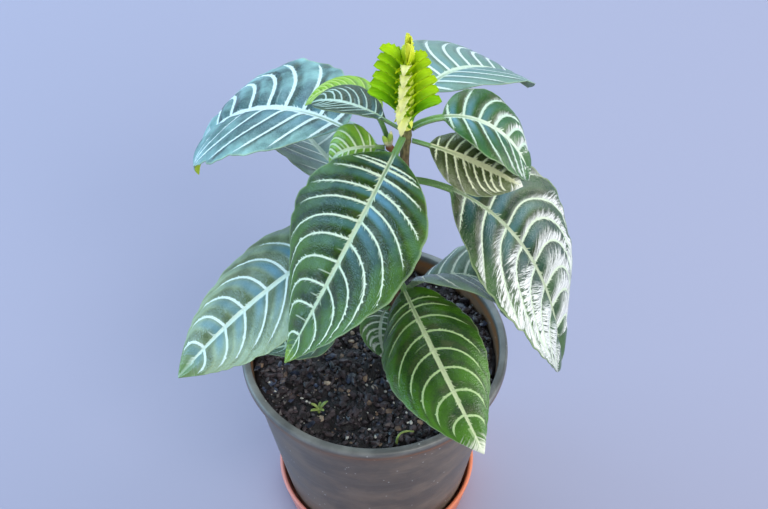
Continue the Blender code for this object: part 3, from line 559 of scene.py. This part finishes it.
# Finishes
class Nodes:
    """A material's node tree, with short calls for the nodes that the finishes share."""

    def __init__(self, name):
        self.material = bpy.data.materials.new(name)
        self.material.use_nodes = True
        self.tree = self.material.node_tree
        self.shader = self.tree.nodes["Principled BSDF"]

    def wire(self, value, socket):
        if isinstance(value, bpy.types.NodeSocket):
            self.tree.links.new(value, socket)
        else:
            socket.default_value = value

    def add(self, kind, sockets=None, **settings):
        """The outputs of a new node with these settings, and with values or links on its sockets."""
        node = self.tree.nodes.new("ShaderNode" + kind)
        for key, value in settings.items():
            setattr(node, key, value)
        for key, value in (sockets or {}).items():
            self.wire(value, node.inputs[key])
        return node.outputs

    def field(self, name):
        return self.add("Attribute", attribute_name=name)["Fac"]

    def place(self):
        return self.add("TexCoord")["Object"]

    def split(self, vector):
        return self.add("SeparateXYZ", {0: vector})

    def join(self, *parts):
        return self.add("CombineXYZ", dict(enumerate(parts)))[0]

    def math(self, operation, *values, clamp=False):
        return self.add("Math", dict(enumerate(values)), operation=operation, use_clamp=clamp)[0]

    def times(self, *values):
        return reduce(lambda a, b: self.math('MULTIPLY', a, b), values)

    def plus(self, *values):
        return reduce(lambda a, b: self.math('ADD', a, b), values)

    def less(self, a, b):
        return self.math('SUBTRACT', a, b)

    def abs(self, value):
        return self.math('ABSOLUTE', value)

    def ease(self, value, low, high, to_low=0.0, to_high=1.0):
        """A value taken smoothly from one range to another."""
        return self.add("MapRange", {"Value": value, "From Min": low, "From Max": high, "To Min": to_low,
                                     "To Max": to_high}, interpolation_type='SMOOTHSTEP')["Result"]

    def noise(self, vector, scale, detail=2.0, roughness=0.5):
        return self.add("TexNoise", {"Vector": vector, "Scale": scale, "Detail": detail,
                                     "Roughness": roughness})["Fac"]

    def cells(self, vector, scale, feature='F1'):
        return self.add("TexVoronoi", {"Vector": vector, "Scale": scale}, feature=feature)["Distance"]

    def mix(self, share, first, second):
        """A mix of two colours, each a link, the name of a paint, or out of 255."""
        first, second = (value if isinstance(value, bpy.types.NodeSocket) else colour(value)
                         for value in (first, second))
        return self.add("Mix", {0: share, 6: first, 7: second}, data_type='RGBA')[2]

    def bump(self, height, distance, strength=1.0):
        normal = self.add("Bump", {"Strength": strength, "Distance": distance, "Height": height})[0]
        self.wire(normal, self.shader.inputs["Normal"])

    def finish(self, base, roughness, specular=0.5):
        for key, value in (("Base Color", base), ("Roughness", roughness), ("Specular IOR Level", specular)):
            self.wire(value, self.shader.inputs[key])
        return self.material


def vein_marks(n, f, veins):
    """The side veins with their barbs, and pale stubs at the roots of some of the gaps."""
    off_vein = n.times(n.abs(n.less(f.part, 0.5)), f.gap)
    row = n.plus(n.times(n.math('FLOOR', f.vein), VEIN_STEP), n.times(f.side, HALF_STEP),
                 n.math('GREATER_THAN', f.part, 0.5))
    comb = n.ease(n.noise(n.join(n.less(f.along, n.times(off_vein, 1.3)), row, 0.0), 2.1, 1.0), 0.52, 0.72)
    edge = n.plus(f.vein_half, n.times(comb, veins.barb, f.live))
    lateral = n.ease(n.less(edge, off_vein), -SOFT, SOFT)
    off_stub = n.times(n.abs(n.less(n.math('FRACT', n.plus(f.vein, 0.5)), 0.5)), f.gap)
    stub_end = n.ease(n.noise(n.join(n.math('ROUND', f.vein), f.side, 9.0), 3.7, 0.0), 0.4, 0.75, 0.0, 0.5)
    stub = n.times(n.ease(n.less(0.3, off_stub), -SOFT, SOFT), n.ease(n.less(stub_end, f.reach), 0.0, 0.12))
    return n.math('MAXIMUM', lateral, n.times(stub, n.ease(f.u, 0.3, 0.5, 0.0, 0.5)))


def rib_mark(n, f, veins):
    """The pale midrib with its feathered edge, narrower towards the tip."""
    fringe = n.ease(n.noise(n.join(f.slant, n.times(f.side, 5.3), 2.0), 1.6, 1.0), 0.56, 0.76)
    half = n.times(n.ease(f.u, 0.0, 0.4, 0.75, 1.05), n.ease(f.u, 0.6, 1.02, 1.0, 0.3), veins.rib)
    edge = n.plus(n.times(fringe, min(1.4, veins.barb * 1.6)), half)
    return n.times(n.ease(n.less(edge, f.rib), -0.2, 0.2), f.on_blade)


def feathering(n, f, veins):
    """White feathering that grows from each side vein out into the gap beyond it."""
    basal = n.math('FRACT', n.less(0.5, f.part))
    away = n.times(basal, f.gap)
    owner = n.plus(n.times(n.math('FLOOR', n.plus(f.vein, 0.5)), VEIN_STEP), n.times(f.side, HALF_STEP))
    stroke = n.less(f.along, n.times(away, 1.2))
    plume = n.ease(n.noise(n.join(stroke, owner, n.times(away, 0.2)), 1.25, 3.0, 0.7), 0.34, 0.66, 0.15, 1.15)
    beyond = n.less(f.u, n.ease(f.across, -0.05, 0.05, *veins.begins))
    amount = n.plus(n.ease(beyond, 0.0, 0.1, 0.0, 0.4), n.ease(beyond, 0.08, 0.55, 0.0, 1.3))
    off_rib = n.ease(f.reach, 0.0, n.ease(f.across, -0.05, 0.05, 0.55, 0.2), 0.3, 1.0)
    fill = n.times(plume, amount, off_rib, f.live, veins.feather)
    fill = n.math('MINIMUM', fill, n.ease(f.reach, 0.0, 0.6, 0.42, 1.1))
    streak = n.noise(n.join(stroke, owner, 4.0), 3.0, 2.0)
    return n.times(n.ease(n.less(fill, basal), -0.22, 0.3), n.ease(streak, 0.3, 0.62, 0.5, 1.0))


def tissue(n, f, tint, far_sheen):
    """The green between the veins, fresher towards margin and tip, with bluish painted sheen and olive
    painted shade.
    """
    crest = n.abs(n.less(n.math('FRACT', n.plus(f.vein, 0.72)), 0.5))
    tone = n.plus(n.times(n.math('POWER', f.reach, 2.2), 0.6), n.times(n.ease(f.u, 0.4, 0.95), 0.5),
                  n.ease(n.noise(f.place, 150.0, 2.0), 0.3, 0.7, -0.15, 0.2))
    tone = n.math('ADD', tone, n.ease(f.patch, 0.3, 0.75, -0.2, 0.5), clamp=True)
    # painted shade: the tissue darkens on the base side of each vein, where the crease lies in shadow
    tone = n.math('ADD', tone, n.ease(crest, 0.2, 0.48, 0.08, -0.35), clamp=True)
    green = n.mix(n.ease(f.net, 0.0, 0.12, 0.25, 0.0), n.mix(tone, tint.deep, tint.fresh), tint.fresh)
    # painted sheen: a bluish painted reflection of the sky on the tip side of each vein, fading towards
    # margin and tip
    bloom = n.times(n.ease(crest, 0.02, 0.34, 1.0, 0.0), n.ease(f.reach, 0.2, 0.85, 1.0, 0.15),
                    n.ease(f.u, 0.15, 0.6, 1.0, far_sheen), n.ease(f.patch, 0.35, 0.65, 0.7, 1.2))
    bloom = n.math('MULTIPLY', bloom, n.ease(f.across, -0.1, 0.1, *tint.bloom), clamp=True)
    # olive patches on the base side of each vein: partly mottling, partly painted shade of the crease
    olive_shade = n.times(n.ease(crest, 0.2, 0.45), n.ease(n.noise(f.place, 120.0, 3.0), 0.4, 0.7), OLIVE_SHADE_SHARE)
    return n.mix(olive_shade, n.mix(bloom, green, "bloom"), "olive_shade")


def leaf_material(leaf):
    """Green tissue between pale feathered veins, worked out from the fields that the leaf's points carry."""
    veins, tint = PATTERNS[leaf.node], TINTS[leaf.node]
    n = Nodes(leaf.node + "_finish")
    f = SimpleNamespace(**{name: n.field(name) for name in FIELDS})
    f.reach = n.abs(f.across)
    f.side = n.math('SIGN', f.across)
    f.part = n.math('FRACT', f.vein)
    f.live = n.math('GREATER_THAN', f.vein_half, 0.0)
    f.slant = n.less(f.length, f.rib)
    f.on_blade = n.ease(f.u, -0.02, 0.03)
    f.place = n.place()
    f.patch = n.noise(f.place, 45.0, 3.0)
    f.net = n.cells(f.place, 900.0, 'DISTANCE_TO_EDGE')

    lateral, rib = vein_marks(n, f, veins), rib_mark(n, f, veins)
    base = tissue(n, f, tint, FAR_SHEEN.get(leaf.node, SHEEN_AT_TIP))
    if veins.feather:
        base = n.mix(feathering(n, f, veins), base, "feather")
    base = n.mix(lateral, base, tint.vein)
    groove = n.times(n.ease(f.rib, 0.2, 0.8, 1.0, 0.0), n.ease(f.u, 0.05, 0.4, 0.75, 0.0))
    base = n.mix(rib, base, n.mix(groove, tint.rib, "groove"))
    base = n.mix(f.on_blade, n.mix(n.ease(f.u, -0.25, 0.0), "petiole foot", "petiole"), base)
    base = n.mix(n.ease(f.reach, 0.965, 0.995, 0.0, 0.4), base, "margin")
    pale = n.mix(n.times(n.math('MAXIMUM', lateral, rib), 0.6), "underside", "underside vein")
    base = n.mix(f.under, base, pale)
    strands = n.noise(n.join(f.slant, n.times(f.rib, 0.12), f.side), 0.9, 3.0, 0.6)
    wander = n.plus(n.times(n.less(strands, 0.5), TIP_STREAK / leaf.blade), f.u)
    base = n.mix(n.ease(wander, tint.tip_from, tint.tip_from + TIP_FADE, 0.0, tint.tip_share), base, tint.tip)

    rough = n.plus(n.times(lateral, 0.16), 0.19, n.times(f.under, 0.25), n.ease(f.patch, 0.3, 0.7, 0.0, 0.08))
    wrinkle = n.noise(n.join(n.times(f.along, 0.5), f.length, f.side), 1.2, 3.0)
    n.bump(n.plus(n.times(f.net, 0.6), n.times(lateral, -0.45), n.times(wrinkle, 0.9)), 0.0004, 0.8)
    return n.finish(base, rough, DULLER.get(leaf.node, LEAF_SPECULAR))


def plain_material(name, light, dark, roughness, scale, bump=0.0001):
    """A finish mottled between two colours."""
    n = Nodes(name)
    place = n.place()
    base = n.mix(n.ease(n.noise(place, scale, 4.0, 0.6), 0.3, 0.7), dark, light)
    n.bump(n.noise(place, scale * 6, 3.0), bump)
    return n.finish(base, roughness)


def pot_material():
    """Dusty dark plastic: scuffed round the wall, stained under the lip, and lighter on top of it as painted
    highlight.
    """
    n = Nodes("pot_finish")
    place = n.place()
    x, y, z = n.split(place)
    dust = n.noise(n.join(x, y, n.times(z, 1.6)), 42.0, 5.0, 0.6)
    scuff = n.noise(n.join(n.times(x, 0.7), n.times(y, 0.7), n.times(z, 7.0)), 40.0, 5.0, 0.65)
    base = n.mix(n.ease(dust, 0.35, 0.7), "pot", "pot dust")
    base = n.mix(n.ease(scuff, 0.5, 0.74, 0.0, 0.28), base, "pot scuff")
    low = RIM_TOP - LIP_HEIGHT
    band = n.times(n.ease(scuff, 0.34, 0.6, 0.3, 1.0), n.ease(z, low - 0.010, low + 0.0012),
                   n.ease(z, low + 0.0012, low + 0.0036, 1.0, 0.0))
    base = n.mix(band, base, "stain")
    # painted highlight: the lip's top is painted lighter and mottled, for the sky it reflects
    lip = n.mix(n.ease(n.noise(place, 90.0, 4.0), 0.3, 0.7), "lip", "lip highlight")
    base = n.mix(n.ease(z, RIM_TOP - 0.0030, RIM_TOP - 0.0008), base, lip)
    base = n.mix(n.ease(n.cells(place, 190.0), 0.10, 0.05, 0.0, 0.6), base, "speck")
    n.bump(n.noise(place, 900.0, 3.0), PLASTIC_BUMP)
    return n.finish(base, n.ease(dust, 0.3, 0.8, 0.36, 0.52))


def saucer_material():
    n = Nodes("saucer_finish")
    place = n.place()
    # painted light: the left half is tinted pink and the right half orange, for how light falls on each side
    base = n.mix(n.ease(n.split(place)[0], -0.05, 0.05), "saucer left", "saucer right")
    base = n.mix(n.ease(n.noise(place, 70.0, 4.0, 0.6), 0.35, 0.75, 0.0, 0.22), base, "saucer dirt")
    n.bump(n.noise(place, 700.0, 3.0), PLASTIC_BUMP)
    return n.finish(base, 0.45)


def stem_material():
    """Streaked bark, going over into green stem below the head."""
    n = Nodes("stem_finish")
    x, y, z = n.split(n.place())
    streak = n.noise(n.join(n.times(x, 4.0), n.times(y, 4.0), z), 260.0, 4.0, 0.6)
    ridge = n.ease(streak, 0.3, 0.7)
    base = n.mix(n.ease(z, 0.225, 0.275), n.mix(ridge, "bark", "bark ridge"),
                 n.mix(ridge, "young stem", "young ridge"))
    n.bump(streak, 0.0003)
    return n.finish(base, 0.6, 0.35)


def side_shoot_material():
    """Cream bud leaves going green, on a red-brown foot."""
    n = Nodes("side_shoot_finish")
    place = n.place()
    buds = n.mix(n.ease(n.noise(place, 220.0, 2.0), 0.4, 0.6), "bud", "bud green")
    return n.finish(n.mix(n.ease(n.split(place)[2], 0.2465, 0.2500), "bud foot", buds), 0.5, 0.3)


def bract_material():
    """Yellow to green bracts, brighter towards their tips and edges as partly painted highlight and partly
    their own colour.
    """
    n = Nodes("bract_finish")
    tone, u, across = n.field("tone"), n.field("u"), n.field("across")
    grain = n.noise(n.join(n.times(across, 6.0), n.times(u, 1.2), tone), 3.0, 2.0)
    yellow, green = n.ease(tone, 0.0, 0.3), n.ease(tone, 0.35, 0.8)
    edge = n.mix(green, n.mix(yellow, "pale edge highlight", "yellow edge highlight"), "green edge highlight")
    deep = n.mix(green, n.mix(yellow, "pale bract", "yellow bract"), "green bract")
    rim = n.times(n.math('POWER', n.abs(across), 3.0), 0.4)
    # partly painted light: tips and edges take the brighter highlight colours and the bases the deeper ones,
    # for lit lobes and shaded feet
    outer = n.math('ADD', n.ease(u, 0.15, 0.95), rim, clamp=True)
    base = n.mix(n.ease(grain, 0.35, 0.7, 0.0, 0.35), n.mix(outer, deep, edge), deep)
    n.bump(grain, 0.0003)
    return n.finish(base, 0.5, 0.12)


# Turned pieces
def circle(radius, height, sides):
    """A level ring of points in millimetres, from a radius and a height in metres."""
    turns = 2 * math.pi * np.arange(sides) / sides
    return np.stack([radius * np.cos(turns), radius * np.sin(turns), np.full(sides, height)], 1) / MM


def arc(centre_r, centre_z, radius, start, end, steps):
    """Points of a profile on an arc, from one angle to another in degrees."""
    angles = np.radians(np.linspace(start, end, steps))
    return [(centre_r + radius * math.cos(a), centre_z + radius * math.sin(a)) for a in angles]


def turned(node, profile, material):
    """A turned piece: its profile in metres runs from the underside, up the outside and down the inside."""
    rings = np.array([circle(radius, height, TURNED_SIDES) for radius, height in profile])
    return dress(node, [(rings, tube_faces)], material, sharp=35)


def pot_outer_radius(height):
    """Radius of the pot's tapered outer wall at a height above the saucer's underside."""
    share = (height - POT_FOOT) / (RIM_TOP - LIP_HEIGHT - POT_FOOT)
    return POT_BASE_RADIUS + share * (RIM_RADIUS - LIP_WIDTH + 2 * LIP_STEP - POT_BASE_RADIUS)


def add_saucer():
    half_rim = SAUCER_RIM_WIDTH / 2
    inside = SAUCER_BASE_RADIUS - SAUCER_WALL
    turned("saucer", [(SAUCER_BASE_RADIUS - FOOT_EASE, 0.0), (SAUCER_BASE_RADIUS, FOOT_EASE),
                      (SAUCER_RIM_RADIUS - LIP_STEP, SAUCER_HEIGHT - SAUCER_COLLAR),
                      *arc(SAUCER_RIM_RADIUS - half_rim, SAUCER_HEIGHT - half_rim, half_rim, 0, 180, 13),
                      (inside, SAUCER_FLOOR + FOOT_EASE), (inside - FOOT_EASE, SAUCER_FLOOR)],
           saucer_material())


def add_pot():
    lip_low = RIM_TOP - LIP_HEIGHT
    half_bead = LIP_BEAD / 2
    floor = POT_FOOT + POT_FLOOR
    profile = [(POT_BASE_RADIUS - FOOT_EASE, POT_FOOT), (POT_BASE_RADIUS, POT_FOOT + FOOT_EASE),
               (pot_outer_radius(lip_low - LIP_STEP), lip_low - LIP_STEP),
               (RIM_RADIUS - half_bead, lip_low), (RIM_RADIUS, lip_low + 2 * LIP_STEP),
               *arc(RIM_RADIUS - LIP_BEAD, RIM_TOP - LIP_BEAD, LIP_BEAD, 0, 90, 9),
               *arc(RIM_RADIUS - LIP_WIDTH + half_bead, RIM_TOP - half_bead, half_bead, 90, 180, 6),
               (pot_outer_radius(lip_low - INNER_EASE) - POT_WALL, lip_low - INNER_EASE),
               (pot_outer_radius(floor) - POT_WALL, floor)]
    pot = turned("pot", profile, pot_material())
    for k in range(DRAIN_HOLES):
        angle = 2 * math.pi * (k + 0.5) / DRAIN_HOLES
        spot = (DRAIN_CIRCLE * math.cos(angle), DRAIN_CIRCLE * math.sin(angle), POT_FOOT)
        bpy.ops.mesh.primitive_cylinder_add(vertices=24, radius=DRAIN_RADIUS, depth=0.02, location=spot)
        cutter = bpy.context.object
        modifier = pot.modifiers.new("drain", 'BOOLEAN')
        modifier.operation = 'DIFFERENCE'
        modifier.solver = 'EXACT'
        modifier.object = cutter
        with bpy.context.temp_override(object=pot, active_object=pot):
            bpy.ops.object.modifier_apply(modifier=modifier.name)
        bpy.data.objects.remove(cutter, do_unlink=True)


# Potting mix
def soil_height(x, y):
    """Top of the lumpy potting mix, in metres: the solid's waves with crumbs and clods of several sizes."""
    waves = sum(size * math.sin(kx * x + ky * y + start) for kx, ky, start, size in SOIL_WAVES)
    near_stem = math.hypot(x - STEM_LINE[1][0] * MM, y)
    grain = sum(noise.noise(Vector((x, y, 0.3)) * scale) * size for scale, size in SOIL_GRAIN)
    return SOIL_TOP + waves * min(1.0, near_stem / 0.012) + grain


def soil_radius():
    return pot_outer_radius(SOIL_TOP) - POT_WALL - GAP


def add_soil(material):
    """The mix: rings of points over its lumpy top, out from the middle, and one round its foot."""
    sides = SOIL_SIDES
    points = [(0.0, 0.0, soil_height(0, 0) / MM)]
    for ring in range(1, SOIL_RINGS + 1):
        share = ring / SOIL_RINGS
        sink = SOIL_SINK * max(0.0, (share - 1 + SINK_SHARE) / SINK_SHARE) ** 2
        points += [(x, y, (soil_height(x * MM, y * MM) - sink) / MM)
                   for x, y, _ in circle(soil_radius() * share, 0, sides)]
    low = POT_FOOT + POT_FLOOR + GAP
    points += circle(pot_outer_radius(low) - POT_WALL - SOIL_INSET, low, sides).tolist()
    faces = [(0, 1 + k, 1 + (k + 1) % sides) for k in range(sides)]
    faces += [(a + 1, d + 1, c + 1, b + 1) for a, b, c, d in quads(SOIL_RINGS + 1, sides)]
    faces.append(tuple(range(len(points) - sides, len(points)))[::-1])
    add_piece("potting_mix_fine", points, faces, material, "potting_mix", sharp=0)


def scatter(grains, draw):
    """Loose grains lying in the top of the mix: each a squashed, turned, uneven twenty-sided lump."""
    phi = (1 + 5 ** 0.5) / 2
    corners = np.array([np.roll((x, y, 0), turn) for turn in range(3) for y in (phi, -phi) for x in (-1, 1)])
    corners = corners / np.linalg.norm(corners[0])
    sides = [(0, 11, 5), (0, 5, 1), (0, 1, 7), (0, 7, 10), (0, 10, 11), (1, 5, 9), (5, 11, 4), (11, 10, 2),
             (10, 7, 6), (7, 1, 8), (3, 9, 4), (3, 4, 2), (3, 2, 6), (3, 6, 8), (3, 8, 9), (4, 9, 5),
             (2, 4, 11), (6, 2, 10), (8, 6, 7), (9, 8, 1)]
    smallest, largest = grains.sizes
    edge = soil_radius() - GRAIN_CLEAR
    points, faces = [], []
    while len(faces) < grains.count * len(sides):
        radius = edge * math.sqrt(draw.random()) * grains.spread
        angle = draw.uniform(0, 2 * math.pi)
        x, y = radius * math.cos(angle), radius * math.sin(angle)
        if math.hypot(x - STEM_LINE[1][0] * MM, y) < STEM_CLEAR:
            continue
        size = smallest + (largest - smallest) * draw.random() ** 2.2
        stretch = (draw.uniform(0.8, 1.5), draw.uniform(0.6, 1.0), draw.uniform(*grains.flatness))
        turn = Matrix.Rotation(draw.uniform(0, 6.28), 3, 'Z') @ Matrix.Rotation(draw.gauss(0, 0.35), 3, 'X')
        rough = np.array([draw.uniform(0.72, 1.15) for _ in corners])
        lump = (corners * rough[:, None] * stretch) @ (np.array(turn) * size).T
        faces += [tuple(len(points) + k for k in side) for side in sides]
        points += (lump + (x / MM, y / MM, soil_height(x, y) / MM + size * stretch[2] * 0.35)).tolist()
    material = plain_material(grains.name + "_finish", *grains[4:8])
    add_piece(grains.name, points, faces, material, None, sharp=30)


# Stem, shoot, head and sprouts
def tube(sections, sides):
    """Rings of a closed tube through (centre, radius) sections."""
    centres = [np.array(centre, float) for centre, _ in sections]
    rings = []
    turns = 2 * math.pi * np.arange(sides) / sides
    for i, (centre, radius) in enumerate(sections):
        ahead = unit(centres[min(i + 1, len(centres) - 1)] - centres[max(i - 1, 0)])
        helper = np.array([0.0, 1.0, 0.0]) if abs(ahead[1]) < 0.9 else np.array([1.0, 0.0, 0.0])
        side = unit(np.cross(ahead, helper))
        other = np.cross(ahead, side)
        rings.append(centre + radius * (np.outer(np.cos(turns), side) + np.outer(np.sin(turns), other)))
    return np.array(rings)


def smooth_path(sections, count):
    """More sections along the same line, rounded by a spline through the given ones."""
    given = np.array([(*centre, radius) for centre, radius in sections], float)
    path = []
    for mark in np.linspace(0, len(given) - 1, count):
        i = min(int(mark), len(given) - 2)
        t = mark - i
        p0, p1 = given[max(i - 1, 0)], given[i]
        p2, p3 = given[i + 1], given[min(i + 2, len(given) - 1)]
        spot = 0.5 * (2 * p1 + (p2 - p0) * t + (2 * p0 - 5 * p1 + 4 * p2 - p3) * t ** 2
                      + (3 * p1 - p0 - 3 * p2 + p3) * t ** 3)
        path.append((spot[:3], max(spot[3], 0.05)))
    return path


def add_stem(material):
    """The stem, swollen at each leaf and with a fine scar below it."""
    foot, top = STEM_LINE[0][2], STEM_LINE[-1][2]
    sections = []
    for height in [*np.arange(foot, top, STEM_STEP), top]:
        scars = sum(math.exp(-((height - leaf.height + SCAR_DROP) / SCAR_REACH) ** 2) for leaf in LEAVES)
        sections.append((stem_point(height), stem_radius(height) + SCAR_SWELL * scars))
    dress("stem", [(tube(sections, STEM_SIDES), tube_faces)], material, sharp=50)


def add_side_shoot(material):
    """The short shoot: a stub with a round end beside the stem, and two upright bud leaves."""
    along = unit(SHOOT_END - SHOOT_ROOT)
    cap = [(SHOOT_END + along * SHOOT_RADIUS * math.sin(a), max(SHOOT_RADIUS * math.cos(a), 0.05))
           for a in np.radians(np.linspace(-20, 90, 9))]
    stub = [(SHOOT_ROOT, 1.2), (SHOOT_ROOT + along * 1.2, 1.4), (SHOOT_END - along, 1.55)]
    paths = [smooth_path(stub, 8) + cap]
    for lean, length in BUD_LEAVES:
        way = unit(np.array(lean))
        root = SHOOT_END + way * 0.6
        paths.append(smooth_path([(root + way * length * share, radius)
                                  for share, radius in ((0, 0.9), (0.35, 1.3), (0.7, 1.05), (1, 0.15))], 20))
    dress("side_shoot", [(tube(path, 16), tube_faces) for path in paths], material, sharp=50)


def bract_rings(root, heading, rise, fall, length, width, keel, taper, teeth):
    """Fine rings of one boat-shaped bract with a toothed edge, and its points' shares along and across."""
    steps = np.linspace(0, 1, BRACT_ROWS + 1)
    across = np.linspace(-1, 1, BRACT_COLUMNS + 1)
    head = math.radians(heading)
    side = np.array([-math.sin(head), math.cos(head), 0.0])
    level = np.array([math.cos(head), math.sin(head), 0.0])
    spot = np.array(root, float)
    rings = []
    before = 0.0
    for u in steps:
        climb = math.radians(rise + (fall - rise) * u ** 2)
        way = math.cos(climb) * level + np.array([0.0, 0.0, math.sin(climb)])
        spot = spot + way * length * (u - before)
        before = u
        up = np.cross(way, side)
        half = max(width / 2 * (0.5 + 1.3 * u) * max(1 - u, 0.0) ** taper, 0.14)
        notch = 1 - teeth * abs((u * 9) % 1 - 0.5) * (u > 0.2) * 2
        fold = math.radians(keel * (1 - 0.5 * u))
        out = across * half * np.where(np.abs(across) > 0.85, notch, 1.0)
        lift = np.abs(out) * math.tan(fold) * (0.5 + 0.5 * np.abs(across)) - 0.12 * half * (1 - across ** 2)
        middle = spot + out[:, None] * side + lift[:, None] * up
        thick = (0.45 * (1 - np.abs(across) ** 2) + 0.16)[:, None] * up * (1 - 0.5 * u)
        rings.append(np.vstack([middle + thick, (middle - thick)[::-1]]))
    along = np.repeat(steps, 2 * len(across))
    return np.array(rings), along, np.tile(np.concatenate([across, across[::-1]]), len(steps))


def add_bract_head(material):
    """The four-ranked head of crossed, keeled and toothed bracts on a slim core, closing to a pointed bud."""
    draw = random.Random(HEAD_SEED)
    top = HEAD_FOOT + np.array([HEAD_LEAN * HEAD_HEIGHT, 0, HEAD_HEIGHT * CORE_SHARE])
    middle = HEAD_FOOT * 0.4 + top * 0.6
    core = tube(smooth_path([(HEAD_FOOT, 1.9), (HEAD_FOOT + (0, 0, 3), CORE_RADIUS), (middle, CORE_RADIUS),
                             (top, 1.2)], 24), 16)
    size = core.shape[0] * core.shape[1]
    skins = [(core, tube_faces)]
    marks = [(np.full(size, 0.6), np.zeros(size), np.full(size, CORE_GREEN))]

    def add_bract(root, heading, rise, fall, length, width, keel, taper, green):
        rings, along, across = bract_rings(root, heading, rise, fall, length, width, keel, taper, TEETH)
        skins.append((rings, ring_faces))
        marks.append((along, across, np.full(len(along), green)))

    for pair in range(BRACT_PAIRS):
        level = pair / (BRACT_PAIRS - 1)
        centre = HEAD_FOOT + (top - HEAD_FOOT) * (0.05 + 0.78 * level)
        for rank in RANK_PAIRS[pair % 2]:
            rise, fall, length, width = (low + (high - low) * level for low, high in rank[1:5])
            heading = rank.heading + draw.uniform(-4, 4)
            stretch = draw.uniform(0.96, 1.04)
            green = rank.green + 0.5 * (rank.green > 0) * max(0.0, 1 - 5 * level)
            add_bract(centre, heading, rise, fall, length * stretch, width, rank.keel, rank.taper, green)
        if pair % 2:
            add_bract(centre, *HOOK)
    for heading, rise, length in BUD_BRACTS:
        add_bract(top - (0, 0, 3), heading, rise, rise + 6, length, BUD_WIDTH, 36, BUD_TAPER, BUD_GREEN)
    fields = dict(zip(("u", "across", "tone"), np.concatenate(marks, 1)))
    dress("bract_head", skins, material, fields, sharp=40)


def add_weeds(material):
    """The bent seedling, and the tuft of tiny sprouts on one root."""
    dress("seedling", [(tube(smooth_path(SEEDLING, 40), 12), tube_faces)], material)
    stalk = [(SPROUT_ROOT, SPROUT_RADIUS), (SPROUT_ROOT + (0, 0, 5.8), SPROUT_RADIUS),
             (SPROUT_ROOT + (0, 0, 7.4), 0.5)]
    skins = [(tube(smooth_path(stalk, 12), 12), tube_faces)]
    for heading, rise, length in SPROUT_LEAVES:
        root = SPROUT_ROOT + (0, 0, 6.6)
        skins.append((bract_rings(root, heading, rise, 5, length, SPROUT_WIDTH, 10, 0.5, 0.0)[0], ring_faces))
    dress("weed_sprouts", skins, material, sharp=50)


# Camera, floor and light
def add_camera():
    """The photograph's view: it looks past the rim's centre, which falls on its own pixel."""
    focal = LENS / SENSOR * IMAGE_WIDTH
    back = Vector((0, -math.cos(CAMERA_ELEVATION), math.sin(CAMERA_ELEVATION)))
    place = back * CAMERA_DISTANCE + Vector(RIM_CENTRE)
    x = Vector((0, 0, 1)).cross(back).normalized()
    level = Matrix((x, back.cross(x), back)).transposed()
    aim = Vector((RIM_PIXEL[0] - IMAGE_WIDTH / 2, IMAGE_HEIGHT / 2 - RIM_PIXEL[1], -focal)).normalized()
    pan = math.atan2(aim.x, -aim.z)
    tilt = math.atan2(aim.y, math.hypot(aim.x, aim.z))
    turn = (level @ Matrix.Rotation(-CAMERA_ROLL, 3, 'Z') @ Matrix.Rotation(-tilt, 3, 'X')
            @ Matrix.Rotation(pan, 3, 'Y'))
    data = bpy.data.cameras.new("photograph_view")
    data.lens = LENS
    data.sensor_width = SENSOR
    camera = new_object("photograph_view", data)
    camera.matrix_world = Matrix.Translation(place * MM) @ turn.to_4x4()
    bpy.context.scene.camera = camera


def add_panel(panel):
    data = bpy.data.lights.new(panel.name, 'AREA')
    data.shape = 'RECTANGLE'
    data.size, data.size_y = panel.size
    data.energy = panel.power
    data.color = panel.tint
    light = new_object(panel.name, data)
    light.location = panel.place
    light.rotation_euler = (Vector(PANEL_AIM) - Vector(panel.place)).to_track_quat('-Z', 'Y').to_euler()


def add_studio():
    bpy.ops.mesh.primitive_plane_add(size=FLOOR_SIZE, location=(0, 0, -FLOOR_DROP))
    floor = bpy.context.object
    floor.name = "pale_floor"
    floor.data.materials.append(Nodes("floor_finish").finish(FLOOR_TINT, 0.7, 0.3))
    world = bpy.data.worlds.new("studio")
    world.use_nodes = True
    sky = world.node_tree.nodes["Background"].inputs
    sky["Color"].default_value = SKY_TINT
    sky["Strength"].default_value = SKY_STRENGTH
    bpy.context.scene.world = world
    bpy.context.scene.view_settings.view_transform = 'Standard'
    for panel in PANELS:
        add_panel(panel)


def main():
    add_studio()
    add_camera()
    for leaf in LEAVES:
        add_leaf(leaf, stem_point(leaf.height), stem_radius(leaf.height) + SEAT_GAP, True)
    for leaf in SHOOT_LEAVES:
        add_leaf(leaf, SHOOT_END, SHOOT_RADIUS + SEAT_GAP, False)
    add_stem(stem_material())
    add_side_shoot(side_shoot_material())
    add_bract_head(bract_material())
    add_pot()
    add_saucer()
    add_soil(plain_material("soil_finish", (42, 36, 42), (10, 8, 12), 0.5, 320.0, 0.0004))
    draw = random.Random(GRAIN_SEED)
    for grains in GRAINS:
        scatter(grains, draw)
    add_weeds(plain_material("weed_finish", (170, 190, 110), (110, 136, 66), 0.55, 400.0))


main()
